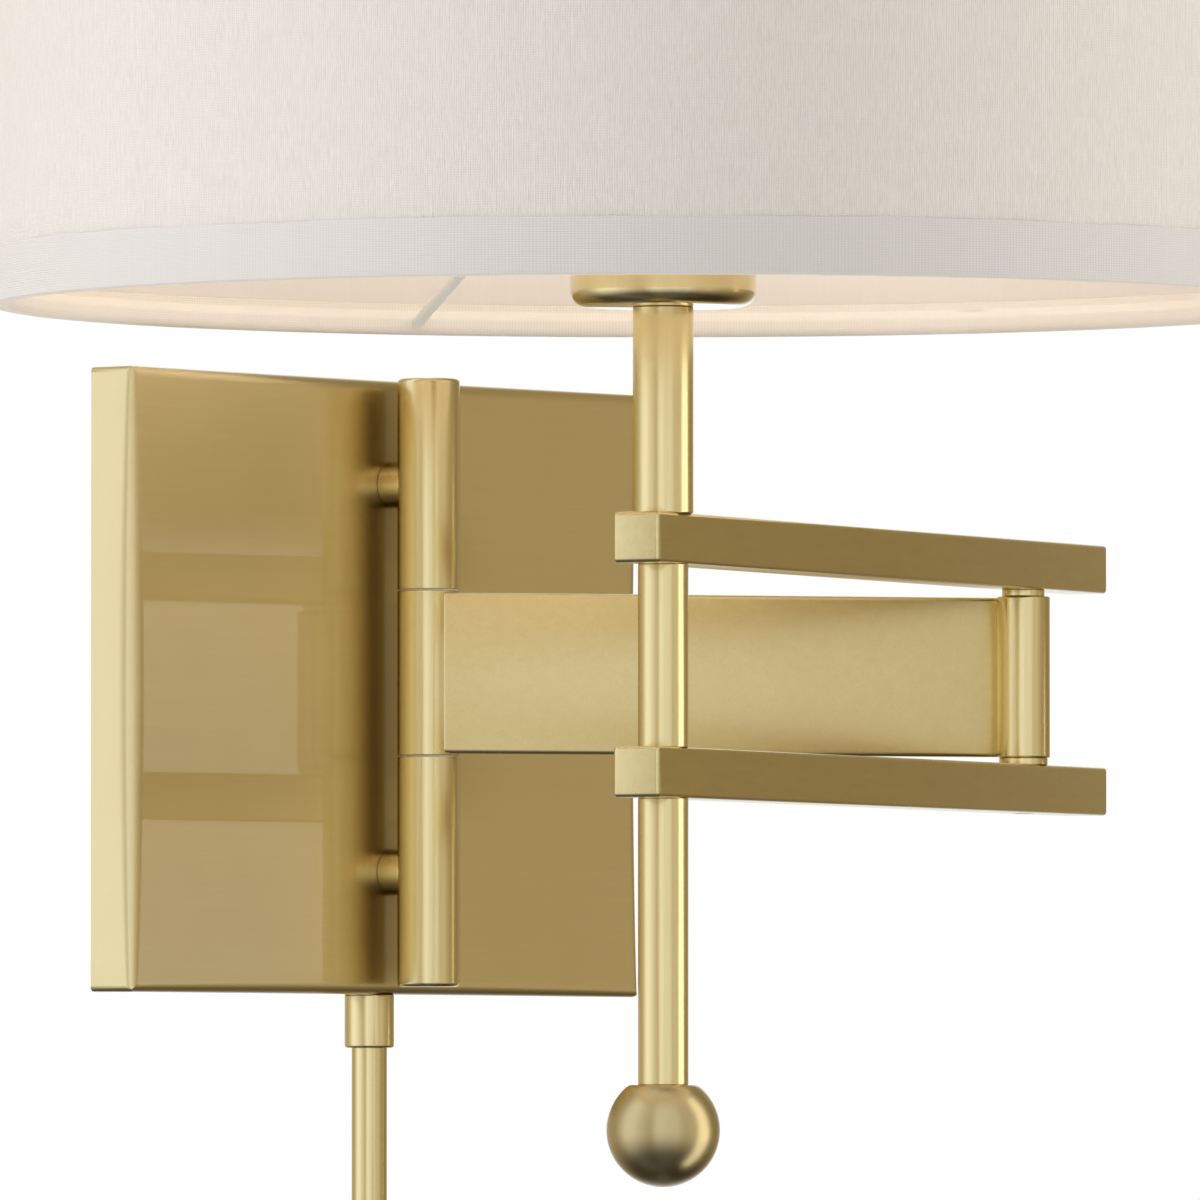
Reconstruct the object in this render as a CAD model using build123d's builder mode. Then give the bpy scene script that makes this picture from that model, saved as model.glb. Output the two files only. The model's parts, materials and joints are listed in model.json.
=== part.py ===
"""Swing arm wall sconce: wall plate, hinged flat arm, elbow, twin-bar link, stem and drum shade.

Millimetres.  The wall is the plane y = 0 and +Y points into it, X runs along the wall and +Z is up.
The origin is the centre of the back of the wall plate.  The lamp is drawn part folded, with the
shade hanging in front of the left half of the plate.
"""

from build123d import *
import os
from math import asin, cos, degrees, hypot, radians, sin, sqrt

os.makedirs("parts", exist_ok=True)

# ---- Driving dimensions ----------------------------------------------------------------------

# Wall plate, a shallow pan of folded sheet
plate_width = 220
plate_height = 160
plate_depth = 13.5
plate_sheet = 1.2
plate_corner_radius = 1.6
plate_edge_radius = 2.6

# Mounting bracket behind it
wall_screw_spacing = 88.9
wall_screw_hole = 5
bracket_sheet = 1.6
bracket_bar_length = 110
bracket_bar_height = 30
bracket_leg_centre = 25
bracket_leg_width = 20
bracket_tab_reach = 10
set_screw_diameter = 4
set_screw_length = 6

# Wall hinge
hinge_out = 25.7
tube_diameter = 16.2
tube_top = 80
tube_bottom = -78
hinge_pin_diameter = 8
knuckle_half = 21.4
hinge_gap_half = 21.75
standoff_diameter = 12.2
standoff_screw_diameter = 4
standoff_screw_reach = 3.6
standoff_head_diameter = 8
standoff_head_height = 3

# Arm: a flat strip between the hinge knuckle and the elbow post
arm_level = 3.4
arm_reach = 160.1
arm_angle = 39.9
strip_height = 41.8
strip_thickness = 4.8
strip_edge_radius = 1.1
post_diameter = 14
post_half = 21.15
elbow_pin_diameter = 6.35
bushing_wall = 1.5
bushing_length = 12
running_clearance = 0.04

# Link: two square bars, one above and one below the arm
link_reach = 226.3
link_angle = 11.35
bar_size = 12.7
bar_gap = 45.9
bar_past_stem = 16.4
bar_past_post = 41.2
bar_edge_radius = 0.8
elbow_spacer_diameters = {"upper": 11.2, "lower": 12.8}

# Stem and ball, clamped on one threaded lamp pipe
pipe_diameter = 9.6
pipe_bore = 6.5
stem_diameter = 12.65
upper_stem_diameter = 15.2
stem_bottom = -104
ball_diameter = 28.4
ball_flat_drop = 2.9

# Lamp holder
cup_diameter = 46.7
cup_bottom = 90.8
cup_height = 18
cup_sheet = 1
cup_edge_radius = 4
socket_diameter = 41
socket_neck_diameter = 37
socket_bore = 28.6
hub_height = 146
socket_top = 159
bulb_diameter = 60
bulb_top = 245
knob_height = 121
knob_angle = 120
knob_shaft_diameter = 4

# Shade, a straight drum open at both ends
shade_diameter = 335
shade_bottom = 91.2
shade_height = 230
shade_sheet = 1
shade_trim_width = 14.1
shade_trim_sheet = 0.4
shade_wire = 3
spoke_angles = (59, 179, 299)

# Cord cover under the plate
cord_tube_diameter = 9.2
cord_tube_bore = 7.6
cord_tube_length = 305
ferrule_diameter = 12.9
ferrule_length = 13.8
cord_nut_radius = 5.1
cord_nut_chamfer = 0.4
cord_out = 6.5
cord_nut_height = 3

# ---- Worked out from them --------------------------------------------------------------------

plate_half_height = plate_height / 2
plate_inner_half_height = plate_half_height - plate_sheet
plate_mid_depth = -plate_depth / 2
tube_radius = tube_diameter / 2
bar_inner = bar_gap / 2
bar_outer = bar_inner + bar_size
tube_spans = {
    "upper": (arm_level + hinge_gap_half, tube_top),
    "lower": (tube_bottom, arm_level - hinge_gap_half),
}
tube_middles = {end: sum(span) / 2 for end, span in tube_spans.items()}
ball_radius = ball_diameter / 2
ball_centre = stem_bottom - ball_radius + ball_flat_drop
shade_top = shade_bottom + shade_height
shade_radius = shade_diameter / 2

# The strip is flush with the front of the knuckle, and the elbow post stands against its front,
# so the post's axis lies outside the strip's own line by post_offset.
strip_front = tube_radius
strip_back = strip_front - strip_thickness
post_offset = strip_back + post_diameter / 2
strip_length = sqrt(arm_reach**2 - post_offset**2)
strip_angle = arm_angle - degrees(asin(post_offset / arm_reach))

elbow_x = arm_reach * cos(radians(arm_angle))
elbow_y = -hinge_out - arm_reach * sin(radians(arm_angle))
stem_x = elbow_x - link_reach * cos(radians(link_angle))
stem_y = elbow_y - link_reach * sin(radians(link_angle))


def direction(angle):
    """Unit vector in plan, at an angle from +X towards +Y."""
    return (cos(radians(angle)), sin(radians(angle)), 0)


# Working planes.  Those of the knuckle, strip, elbow and link lie at the arm's own level, with
# local x along the strip, or along the bars from the elbow to the stem.  In arm_plane the outer
# side of the strip is local -y.
knuckle_plane = Plane(origin=(0, -hinge_out, arm_level))
arm_plane = Plane(origin=knuckle_plane.origin, x_dir=direction(-strip_angle), z_dir=(0, 0, 1))
elbow_plane = Plane(origin=(elbow_x, elbow_y, arm_level))
link_plane = Plane(origin=elbow_plane.origin, x_dir=direction(180 + link_angle), z_dir=(0, 0, 1))
hinge_plane = Plane(origin=(0, -hinge_out, 0))
stem_plane = Plane(origin=(stem_x, stem_y, 0))
cord_plane = Plane(origin=(0, -cord_out, 0))


def turned(plane, bottom, top, diameter, bore=0):
    """A plain round bar or tube between two heights, standing on a working plane's origin."""
    with BuildPart() as piece:
        with BuildSketch(plane.offset(bottom)):
            Circle(diameter / 2)
            if bore:
                Circle(bore / 2, mode=Mode.SUBTRACT)
        extrude(amount=top - bottom)
    return piece


# ---- Wall plate ------------------------------------------------------------------------------

with BuildPart() as back_plate:
    with BuildSketch(Plane.XZ):
        RectangleRounded(plate_width, plate_height, plate_corner_radius)
    extrude(amount=plate_depth)
    fillet(back_plate.faces().sort_by(Axis.Y)[0].edges(), plate_edge_radius)
    offset(amount=-plate_sheet, openings=back_plate.faces().sort_by(Axis.Y)[-1])
    with Locations(Plane.XZ.offset(plate_depth)):
        with Locations(*[(0, middle) for middle in tube_middles.values()]):
            Hole(standoff_screw_diameter / 2 + 0.2, depth=plate_sheet * 2)
    with Locations(Plane(origin=(0, -cord_out, -plate_half_height), z_dir=(0, 0, -1))):
        Hole(cord_tube_diameter / 2 + 0.1, depth=plate_sheet * 2)
    with BuildSketch(Plane.XY.offset(-plate_half_height)):
        with Locations((-bracket_leg_centre, plate_mid_depth), (bracket_leg_centre, plate_mid_depth)):
            Circle(set_screw_diameter / 2 + 0.1)
    extrude(amount=plate_height, mode=Mode.SUBTRACT)
back_plate.part.label = "back_plate"
export_step(back_plate.part, "parts/back_plate.step")

# Steel bracket: a crossbar on the wall, with two legs whose ends fold forward inside the pan
tab_height = plate_inner_half_height - 0.2
with BuildPart() as mounting_bracket:
    with BuildSketch(Plane.XZ):
        Rectangle(bracket_bar_length, bracket_bar_height)
        with Locations((-bracket_leg_centre, 0), (bracket_leg_centre, 0)):
            Rectangle(bracket_leg_width, 2 * tab_height)
        with Locations((-wall_screw_spacing / 2, 0), (wall_screw_spacing / 2, 0)):
            Circle(wall_screw_hole / 2, mode=Mode.SUBTRACT)
        Circle(10, mode=Mode.SUBTRACT)
    extrude(amount=bracket_sheet)
    for bottom in (-tab_height, tab_height - bracket_sheet):
        with BuildSketch(Plane.XY.offset(bottom)):
            with Locations((-bracket_leg_centre, 0), (bracket_leg_centre, 0)):
                Rectangle(bracket_leg_width, bracket_tab_reach, align=(Align.CENTER, Align.MAX))
        extrude(amount=bracket_sheet)
    with BuildSketch(Plane.XY.offset(-tab_height)):
        with Locations((-bracket_leg_centre, plate_mid_depth), (bracket_leg_centre, plate_mid_depth)):
            Circle(set_screw_diameter / 2)
    extrude(amount=2 * tab_height, mode=Mode.SUBTRACT)
mounting_bracket.part.label = "mounting_bracket"
export_step(mounting_bracket.part, "parts/mounting_bracket.step")

# Headless set screws, sunk flush in the top and bottom walls of the pan
for side, screw_x in (("left", -bracket_leg_centre), ("right", bracket_leg_centre)):
    for end, outward in (("top", 1), ("bottom", -1)):
        screw_face = outward * (plate_half_height - 0.3)
        screw_plane = Plane(origin=(screw_x, plate_mid_depth, screw_face), z_dir=(0, 0, -outward))
        with BuildPart() as set_screw:
            with BuildSketch(screw_plane):
                Circle(set_screw_diameter / 2)
            extrude(amount=set_screw_length)
            with BuildSketch(screw_plane):
                RegularPolygon(1.1, 6)
            extrude(amount=2, mode=Mode.SUBTRACT)
        set_screw.part.label = f"set_screw_{end}_{side}"
        export_step(set_screw.part, f"parts/set_screw_{end}_{side}.step")

# ---- Wall hinge ------------------------------------------------------------------------------

for end, outward in (("upper", 1), ("lower", -1)):
    span_bottom, span_top = tube_spans[end]
    with BuildPart() as hinge_tube:
        with BuildSketch(hinge_plane.offset(span_bottom)):
            Circle(tube_radius)
        extrude(amount=span_top - span_bottom)
        tube_faces = hinge_tube.faces().sort_by(Axis.Z)
        fillet(tube_faces[-1 if end == "upper" else 0].edges(), 1)
        with BuildSketch(hinge_plane.offset(span_bottom)):
            Circle(hinge_pin_diameter / 2)
        extrude(amount=span_top - span_bottom, mode=Mode.SUBTRACT)
    hinge_tube.part.label = f"hinge_tube_{end}"
    export_step(hinge_tube.part, f"parts/hinge_tube_{end}.step")

    # Short round standoff, coped to the tube and tapped for its screw
    standoff_plane = Plane.XZ.offset(plate_depth)
    with BuildPart() as standoff:
        with BuildSketch(standoff_plane):
            with Locations((0, tube_middles[end])):
                Circle(standoff_diameter / 2)
        extrude(amount=hinge_out - plate_depth)
        with BuildSketch(hinge_plane.offset(tube_middles[end] - standoff_diameter)):
            Circle(tube_radius)
        extrude(amount=2 * standoff_diameter, mode=Mode.SUBTRACT)
        with BuildSketch(standoff_plane):
            with Locations((0, tube_middles[end])):
                Circle(standoff_screw_diameter / 2)
        extrude(amount=standoff_screw_reach + 0.2, mode=Mode.SUBTRACT)
    standoff.part.label = f"standoff_{end}"
    export_step(standoff.part, f"parts/standoff_{end}.step")

    # Screw from inside the pan into the standoff
    with BuildPart() as standoff_screw:
        with BuildSketch(Plane.XZ.offset(plate_depth - plate_sheet)):
            with Locations((0, tube_middles[end])):
                Circle(standoff_head_diameter / 2)
        extrude(amount=-standoff_head_height)
        with BuildSketch(Plane.XZ.offset(plate_depth - plate_sheet)):
            with Locations((0, tube_middles[end])):
                Circle(standoff_screw_diameter / 2)
        extrude(amount=plate_sheet + standoff_screw_reach)
        with BuildSketch(Plane.XZ.offset(plate_depth - plate_sheet - standoff_head_height)):
            with Locations((0, tube_middles[end])):
                Rectangle(5, 1)
                Rectangle(1, 5)
        extrude(amount=1.5, mode=Mode.SUBTRACT)
    standoff_screw.part.label = f"standoff_screw_{end}"
    export_step(standoff_screw.part, f"parts/standoff_screw_{end}.step")

    # Thin washer between the tube and the knuckle
    washer_ends = sorted((outward * (knuckle_half + 0.05), outward * hinge_gap_half))
    hinge_washer = turned(knuckle_plane, *washer_ends, tube_diameter - 0.8, hinge_pin_diameter)
    hinge_washer.part.label = f"hinge_washer_{end}"
    export_step(hinge_washer.part, f"parts/hinge_washer_{end}.step")

# The pin runs through both tubes, with a driver slot at the top
with BuildPart() as hinge_pin:
    with BuildSketch(hinge_plane.offset(tube_bottom)):
        Circle(hinge_pin_diameter / 2)
    extrude(amount=tube_top - tube_bottom)
    chamfer(hinge_pin.edges().filter_by(GeomType.CIRCLE), 0.5)
    with BuildSketch(hinge_plane.offset(tube_top - 1)):
        Rectangle(hinge_pin_diameter + 1, 1.2)
    extrude(amount=1, mode=Mode.SUBTRACT)
hinge_pin.part.label = "hinge_pin"
export_step(hinge_pin.part, "parts/hinge_pin.step")

# ---- Arm -------------------------------------------------------------------------------------

knuckle_bore = hinge_pin_diameter + 2 * (running_clearance + bushing_wall)
post_bore = elbow_pin_diameter + 2 * (running_clearance + bushing_wall)

arm_knuckle = turned(knuckle_plane, -knuckle_half, knuckle_half, tube_diameter, knuckle_bore)
arm_knuckle.part.label = "arm_knuckle"
export_step(arm_knuckle.part, "parts/arm_knuckle.step")

elbow_post = turned(elbow_plane, -post_half, post_half, post_diameter, post_bore)
elbow_post.part.label = "elbow_post"
export_step(elbow_post.part, "parts/elbow_post.step")

# Flat strip, coped round the knuckle at one end and round the post at the other
cope_start = 2.5
with BuildPart() as arm_bar:
    with BuildSketch(arm_plane.offset(-strip_height / 2)):
        with Locations((cope_start, -strip_front)):
            Rectangle(strip_length - 2 * cope_start, strip_thickness, align=(Align.MIN, Align.MIN))
    extrude(amount=strip_height)
    fillet(arm_bar.edges(), strip_edge_radius)
    with BuildSketch(knuckle_plane.offset(-strip_height / 2)):
        Circle(tube_radius)
    extrude(amount=strip_height, mode=Mode.SUBTRACT)
    with BuildSketch(elbow_plane.offset(-strip_height / 2)):
        Circle(post_diameter / 2)
    extrude(amount=strip_height, mode=Mode.SUBTRACT)
arm_bar.part.label = "arm_bar"
export_step(arm_bar.part, "parts/arm_bar.step")

# Plain bushings pressed into both ends of the knuckle and of the post
for name, plane, half, pin, bore in (
    ("knuckle", knuckle_plane, knuckle_half, hinge_pin_diameter, knuckle_bore),
    ("post", elbow_plane, post_half, elbow_pin_diameter, post_bore),
):
    for end, outward in (("upper", 1), ("lower", -1)):
        bushing_ends = sorted((outward * half, outward * (half - bushing_length)))
        bushing = turned(plane, *bushing_ends, bore, pin + 2 * running_clearance)
        bushing.part.label = f"{name}_bushing_{end}"
        export_step(bushing.part, f"parts/{name}_bushing_{end}.step")

# ---- Link ------------------------------------------------------------------------------------

bar_length = bar_past_post + link_reach + bar_past_stem
for end, bottom in (("upper", bar_inner), ("lower", -bar_outer)):
    with BuildPart() as link_bar:
        with BuildSketch(link_plane.offset(bottom)):
            with Locations((-bar_past_post, 0)):
                Rectangle(bar_length, bar_size, align=(Align.MIN, Align.CENTER))
        extrude(amount=bar_size)
        fillet(link_bar.edges(), bar_edge_radius)
        with BuildSketch(link_plane.offset(bottom)):
            Circle(elbow_pin_diameter / 2)
            with Locations((link_reach, 0)):
                Circle(pipe_diameter / 2 + 0.1)
        extrude(amount=bar_size, mode=Mode.SUBTRACT)
    link_bar.part.label = f"link_bar_{end}"
    export_step(link_bar.part, f"parts/link_bar_{end}.step")

    spacer_ends = sorted((bar_inner, post_half + 0.05))
    if end == "lower":
        spacer_ends = sorted(-height for height in spacer_ends)
    elbow_spacer = turned(elbow_plane, *spacer_ends, elbow_spacer_diameters[end], elbow_pin_diameter)
    elbow_spacer.part.label = f"elbow_spacer_{end}"
    export_step(elbow_spacer.part, f"parts/elbow_spacer_{end}.step")

# Elbow pin, flush with the outer faces of the bars, with a hex socket on top
with BuildPart() as elbow_pin:
    with BuildSketch(elbow_plane.offset(-bar_outer)):
        Circle(elbow_pin_diameter / 2)
    extrude(amount=2 * bar_outer)
    chamfer(elbow_pin.edges().filter_by(GeomType.CIRCLE), 0.4)
    with BuildSketch(elbow_plane.offset(bar_outer - 3)):
        RegularPolygon(1.7, 6)
    extrude(amount=3, mode=Mode.SUBTRACT)
elbow_pin.part.label = "elbow_pin"
export_step(elbow_pin.part, "parts/elbow_pin.step")

# ---- Stem ------------------------------------------------------------------------------------

stem_clear_bore = pipe_diameter + 0.2
stem_upper = turned(stem_plane, arm_level + bar_outer, cup_bottom, upper_stem_diameter, stem_clear_bore)
stem_upper.part.label = "stem_upper"
export_step(stem_upper.part, "parts/stem_upper.step")

stem_middle_span = (arm_level - bar_inner, arm_level + bar_inner)
stem_middle = turned(stem_plane, *stem_middle_span, stem_diameter, stem_clear_bore)
stem_middle.part.label = "stem_middle"
export_step(stem_middle.part, "parts/stem_middle.step")

stem_lower = turned(stem_plane, stem_bottom, arm_level - bar_outer, stem_diameter, stem_clear_bore)
stem_lower.part.label = "stem_lower"
export_step(stem_lower.part, "parts/stem_lower.step")

pipe_bottom = stem_bottom - 8
pipe_top = cup_bottom + 10
lamp_pipe = turned(stem_plane, pipe_bottom, pipe_top, pipe_diameter, pipe_bore)
lamp_pipe.part.label = "lamp_pipe"
export_step(lamp_pipe.part, "parts/lamp_pipe.step")

# Ball finial, cut flat where it meets the stem and tapped for the pipe
with BuildPart() as ball_finial:
    with Locations((stem_x, stem_y, ball_centre)):
        Sphere(ball_radius)
    split(bisect_by=Plane.XY.offset(stem_bottom), keep=Keep.BOTTOM)
    with BuildSketch(stem_plane.offset(stem_bottom)):
        Circle(pipe_diameter / 2)
    extrude(amount=-(stem_bottom - pipe_bottom), mode=Mode.SUBTRACT)
ball_finial.part.label = "ball_finial"
export_step(ball_finial.part, "parts/ball_finial.step")

# ---- Lamp holder -----------------------------------------------------------------------------

cup_floor = cup_bottom + cup_sheet
with BuildPart() as socket_cup:
    with BuildSketch(stem_plane.offset(cup_bottom)):
        Circle(cup_diameter / 2)
    extrude(amount=cup_height)
    fillet(socket_cup.faces().sort_by(Axis.Z)[0].edges(), cup_edge_radius)
    offset(amount=-cup_sheet, openings=socket_cup.faces().sort_by(Axis.Z)[-1])
    with BuildSketch(stem_plane.offset(cup_bottom)):
        Circle(pipe_diameter / 2 + 0.1)
    extrude(amount=2 * cup_sheet, mode=Mode.SUBTRACT)
socket_cup.part.label = "socket_cup"
export_step(socket_cup.part, "parts/socket_cup.step")

nut_top = cup_floor + 3
with BuildPart() as cup_nut:
    with BuildSketch(stem_plane.offset(cup_floor)):
        RegularPolygon(8.5, 6)
        Circle(pipe_diameter / 2, mode=Mode.SUBTRACT)
    extrude(amount=nut_top - cup_floor)
cup_nut.part.label = "cup_nut"
export_step(cup_nut.part, "parts/cup_nut.step")

# Moulded socket: a wide body, a narrower neck that the shade fitter sits on, a key switch boss
socket_floor = pipe_top + 3
knob_plane = Plane(
    origin=(stem_x, stem_y, knob_height),
    x_dir=direction(knob_angle + 90),
    z_dir=direction(knob_angle),
)
knob_boss_end = socket_diameter / 2 + 4
with BuildPart() as socket_body:
    with BuildSketch(stem_plane.offset(nut_top)):
        Circle(socket_diameter / 2)
    extrude(amount=hub_height - nut_top)
    with BuildSketch(stem_plane.offset(hub_height)):
        Circle(socket_neck_diameter / 2)
    extrude(amount=socket_top - hub_height)
    with BuildSketch(knob_plane.offset(socket_bore / 2 + 1)):
        Circle(4.5)
    extrude(amount=knob_boss_end - socket_bore / 2 - 1)
    with BuildSketch(stem_plane.offset(socket_floor)):
        Circle(socket_bore / 2)
    extrude(amount=socket_top - socket_floor, mode=Mode.SUBTRACT)
    with BuildSketch(stem_plane.offset(nut_top)):
        Circle(pipe_diameter / 2)
    extrude(amount=pipe_top - nut_top, mode=Mode.SUBTRACT)
    with BuildSketch(knob_plane.offset(socket_bore / 2 + 1)):
        Circle(knob_shaft_diameter / 2 + running_clearance)
    extrude(amount=knob_boss_end, mode=Mode.SUBTRACT)
socket_body.part.label = "socket_body"
export_step(socket_body.part, "parts/socket_body.step")

contact_top = socket_floor + 2
socket_contact = turned(stem_plane, socket_floor, contact_top, 8)
socket_contact.part.label = "socket_contact"
export_step(socket_contact.part, "parts/socket_contact.step")

shell_outer = socket_bore - 0.2
shell_bore = 27.4
screw_shell = turned(stem_plane, socket_floor + 4, socket_top - 8, shell_outer, shell_bore)
screw_shell.part.label = "screw_shell"
export_step(screw_shell.part, "parts/screw_shell.step")

# Key switch knob: a shaft with a flat oval paddle
knob_reach = 14
with BuildPart() as switch_knob:
    with BuildSketch(knob_plane.offset(socket_bore / 2 + 1.5)):
        Circle(knob_shaft_diameter / 2)
    extrude(amount=knob_boss_end + 3 - socket_bore / 2 - 1.5)
    with BuildSketch(knob_plane.offset(knob_boss_end + 1)):
        SlotOverall(15, 5)
    extrude(amount=knob_reach)
    fillet(switch_knob.faces().sort_by(Axis(knob_plane.origin, knob_plane.z_dir))[-1].edges(), 1)
switch_knob.part.label = "switch_knob"
export_step(switch_knob.part, "parts/switch_knob.step")

# ---- Bulb ------------------------------------------------------------------------------------

bulb_radius = bulb_diameter / 2
bulb_sphere_centre = bulb_top - bulb_radius
bulb_neck_radius = 13
bulb_neck = socket_top + 2
base_radius = 13.3
base_bottom = contact_top + 0.2

with BuildPart() as bulb_glass:
    with BuildSketch(Plane(origin=(stem_x, stem_y, 0), x_dir=(1, 0, 0), z_dir=(0, -1, 0))):
        with BuildLine():
            shoulder = (bulb_radius * cos(radians(28)), bulb_sphere_centre - bulb_radius * sin(radians(28)))
            RadiusArc((0, bulb_top), shoulder, bulb_radius)
            Line(shoulder, (bulb_neck_radius, bulb_neck + 10))
            Line((bulb_neck_radius, bulb_neck + 10), (bulb_neck_radius, bulb_neck))
            Line((bulb_neck_radius, bulb_neck), (0, bulb_neck))
            Line((0, bulb_neck), (0, bulb_top))
        make_face()
    revolve(axis=Axis((stem_x, stem_y, 0), (0, 0, 1)))
bulb_glass.part.label = "bulb_glass"
export_step(bulb_glass.part, "parts/bulb_glass.step")

with BuildPart() as bulb_base:
    with BuildSketch(stem_plane.offset(base_bottom + 6)):
        Circle(base_radius)
    extrude(amount=bulb_neck - base_bottom - 6)
    with BuildSketch(stem_plane.offset(base_bottom + 6)):
        Circle(base_radius)
    extrude(amount=-4, taper=45)
    with BuildSketch(stem_plane.offset(base_bottom)):
        Circle(4.5)
    extrude(amount=3)
bulb_base.part.label = "bulb_base"
export_step(bulb_base.part, "parts/bulb_base.step")

# ---- Shade -----------------------------------------------------------------------------------

hub_sheet = 2
hub_radius = 25
fitter_hub = turned(stem_plane, hub_height, hub_height + hub_sheet, 2 * hub_radius, socket_neck_diameter + 0.2)
fitter_hub.part.label = "fitter_hub"
export_step(fitter_hub.part, "parts/fitter_hub.step")

nut_bottom = hub_height + hub_sheet
fitter_nut = turned(stem_plane, nut_bottom, nut_bottom + 6, socket_neck_diameter + 9, socket_neck_diameter)
fitter_nut.part.label = "fitter_nut"
export_step(fitter_nut.part, "parts/fitter_nut.step")

# Bottom and top wire rings
ring_radius = shade_radius - shade_sheet - shade_trim_sheet - shade_wire / 2 - 0.1
ring_heights = {"bottom": shade_bottom + shade_wire / 2 + 0.5, "top": shade_top - shade_wire / 2 - 0.5}
for end, ring_height in ring_heights.items():
    with BuildPart() as shade_ring:
        with Locations((stem_x, stem_y, ring_height)):
            Torus(ring_radius, shade_wire / 2)
    shade_ring.part.label = f"shade_ring_{end}"
    export_step(shade_ring.part, f"parts/shade_ring_{end}.step")

# Three wire spokes from the rim of the hub down to the bottom ring
spoke_start_radius = hub_radius
spoke_end_radius = ring_radius - shade_wire / 2
spoke_start_height = hub_height + hub_sheet / 2
spoke_end_height = ring_heights["bottom"] + 0.5
spoke_length = hypot(spoke_end_radius - spoke_start_radius, spoke_start_height - spoke_end_height)
for number, angle in enumerate(spoke_angles, start=1):
    out_x, out_y, _ = direction(angle)
    spoke_fall = Vector(
        out_x * (spoke_end_radius - spoke_start_radius),
        out_y * (spoke_end_radius - spoke_start_radius),
        spoke_end_height - spoke_start_height,
    )
    spoke_start = (
        stem_x + out_x * spoke_start_radius,
        stem_y + out_y * spoke_start_radius,
        spoke_start_height,
    )
    with BuildPart() as fitter_spoke:
        with BuildSketch(Plane(origin=spoke_start, z_dir=spoke_fall)):
            Circle(shade_wire / 2)
        extrude(amount=spoke_length)
    fitter_spoke.part.label = f"fitter_spoke_{number}"
    export_step(fitter_spoke.part, f"parts/fitter_spoke_{number}.step")

# Stiff fabric drum
shade_shell = turned(stem_plane, shade_bottom, shade_top, shade_diameter, shade_diameter - 2 * shade_sheet)
shade_shell.part.label = "shade_shell"
export_step(shade_shell.part, "parts/shade_shell.step")

# Binding tape folded over each edge of the drum
inner_fold = 7
for end, edge, inward in (("bottom", shade_bottom, 1), ("top", shade_top, -1)):
    tape_edge = edge - inward * shade_trim_sheet
    outer_end = tape_edge + inward * shade_trim_width
    with BuildPart() as shade_trim:
        with BuildSketch(Plane(origin=(stem_x, stem_y, 0), x_dir=(1, 0, 0), z_dir=(0, -1, 0))):
            with BuildLine():
                Polyline(
                    (shade_radius, outer_end),
                    (shade_radius + shade_trim_sheet, outer_end),
                    (shade_radius + shade_trim_sheet, tape_edge),
                    (shade_radius - shade_sheet - shade_trim_sheet, tape_edge),
                    (shade_radius - shade_sheet - shade_trim_sheet, edge + inward * inner_fold),
                    (shade_radius - shade_sheet, edge + inward * inner_fold),
                    (shade_radius - shade_sheet, edge),
                    (shade_radius, edge),
                    close=True,
                )
            make_face()
        revolve(axis=Axis((stem_x, stem_y, 0), (0, 0, 1)))
    shade_trim.part.label = f"shade_trim_{end}"
    export_step(shade_trim.part, f"parts/shade_trim_{end}.step")

# ---- Cord cover ------------------------------------------------------------------------------

ferrule_bottom = -plate_half_height - ferrule_length
cord_tube_bottom = ferrule_bottom - cord_tube_length
cord_tube_top = -plate_inner_half_height + 4
with BuildPart() as cord_ferrule:
    with BuildSketch(cord_plane.offset(ferrule_bottom)):
        Circle(ferrule_diameter / 2)
    extrude(amount=ferrule_length)
    fillet(cord_ferrule.faces().sort_by(Axis.Z)[0].edges(), 0.6)
    with BuildSketch(cord_plane.offset(ferrule_bottom)):
        Circle(cord_tube_diameter / 2)
    extrude(amount=ferrule_length, mode=Mode.SUBTRACT)
cord_ferrule.part.label = "cord_ferrule"
export_step(cord_ferrule.part, "parts/cord_ferrule.step")

cord_cover_tube = turned(cord_plane, cord_tube_bottom, cord_tube_top, cord_tube_diameter, cord_tube_bore)
cord_cover_tube.part.label = "cord_cover_tube"
export_step(cord_cover_tube.part, "parts/cord_cover_tube.step")

with BuildPart() as cord_tube_nut:
    with BuildSketch(cord_plane.offset(-plate_inner_half_height)):
        Circle(cord_nut_radius)
        Circle(cord_tube_diameter / 2, mode=Mode.SUBTRACT)
    extrude(amount=cord_nut_height)
    chamfer(cord_tube_nut.faces().sort_by(Axis.Z)[0].outer_wire().edges(), cord_nut_chamfer)
cord_tube_nut.part.label = "cord_tube_nut"
export_step(cord_tube_nut.part, "parts/cord_tube_nut.step")

# Soft grommet plugged into the open end of the tube
grommet_bore = 5.6
with BuildPart() as cord_grommet:
    with BuildSketch(cord_plane.offset(cord_tube_bottom - 1.2)):
        Circle(cord_tube_diameter / 2)
    extrude(amount=1.2)
    with BuildSketch(cord_plane.offset(cord_tube_bottom)):
        Circle(cord_tube_bore / 2)
    extrude(amount=5)
    with BuildSketch(cord_plane.offset(cord_tube_bottom - 1.2)):
        Circle(grommet_bore / 2)
    extrude(amount=6.2, mode=Mode.SUBTRACT)
cord_grommet.part.label = "cord_grommet"
export_step(cord_grommet.part, "parts/cord_grommet.step")
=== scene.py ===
"""Looks of the swing arm wall sconce: satin brass, a linen drum shade, and a soft studio round them."""

import json
from math import atan2, cos, hypot, pi, radians, sin, sqrt, tan

import bmesh
import bpy
from mathutils import Matrix, Vector


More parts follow.
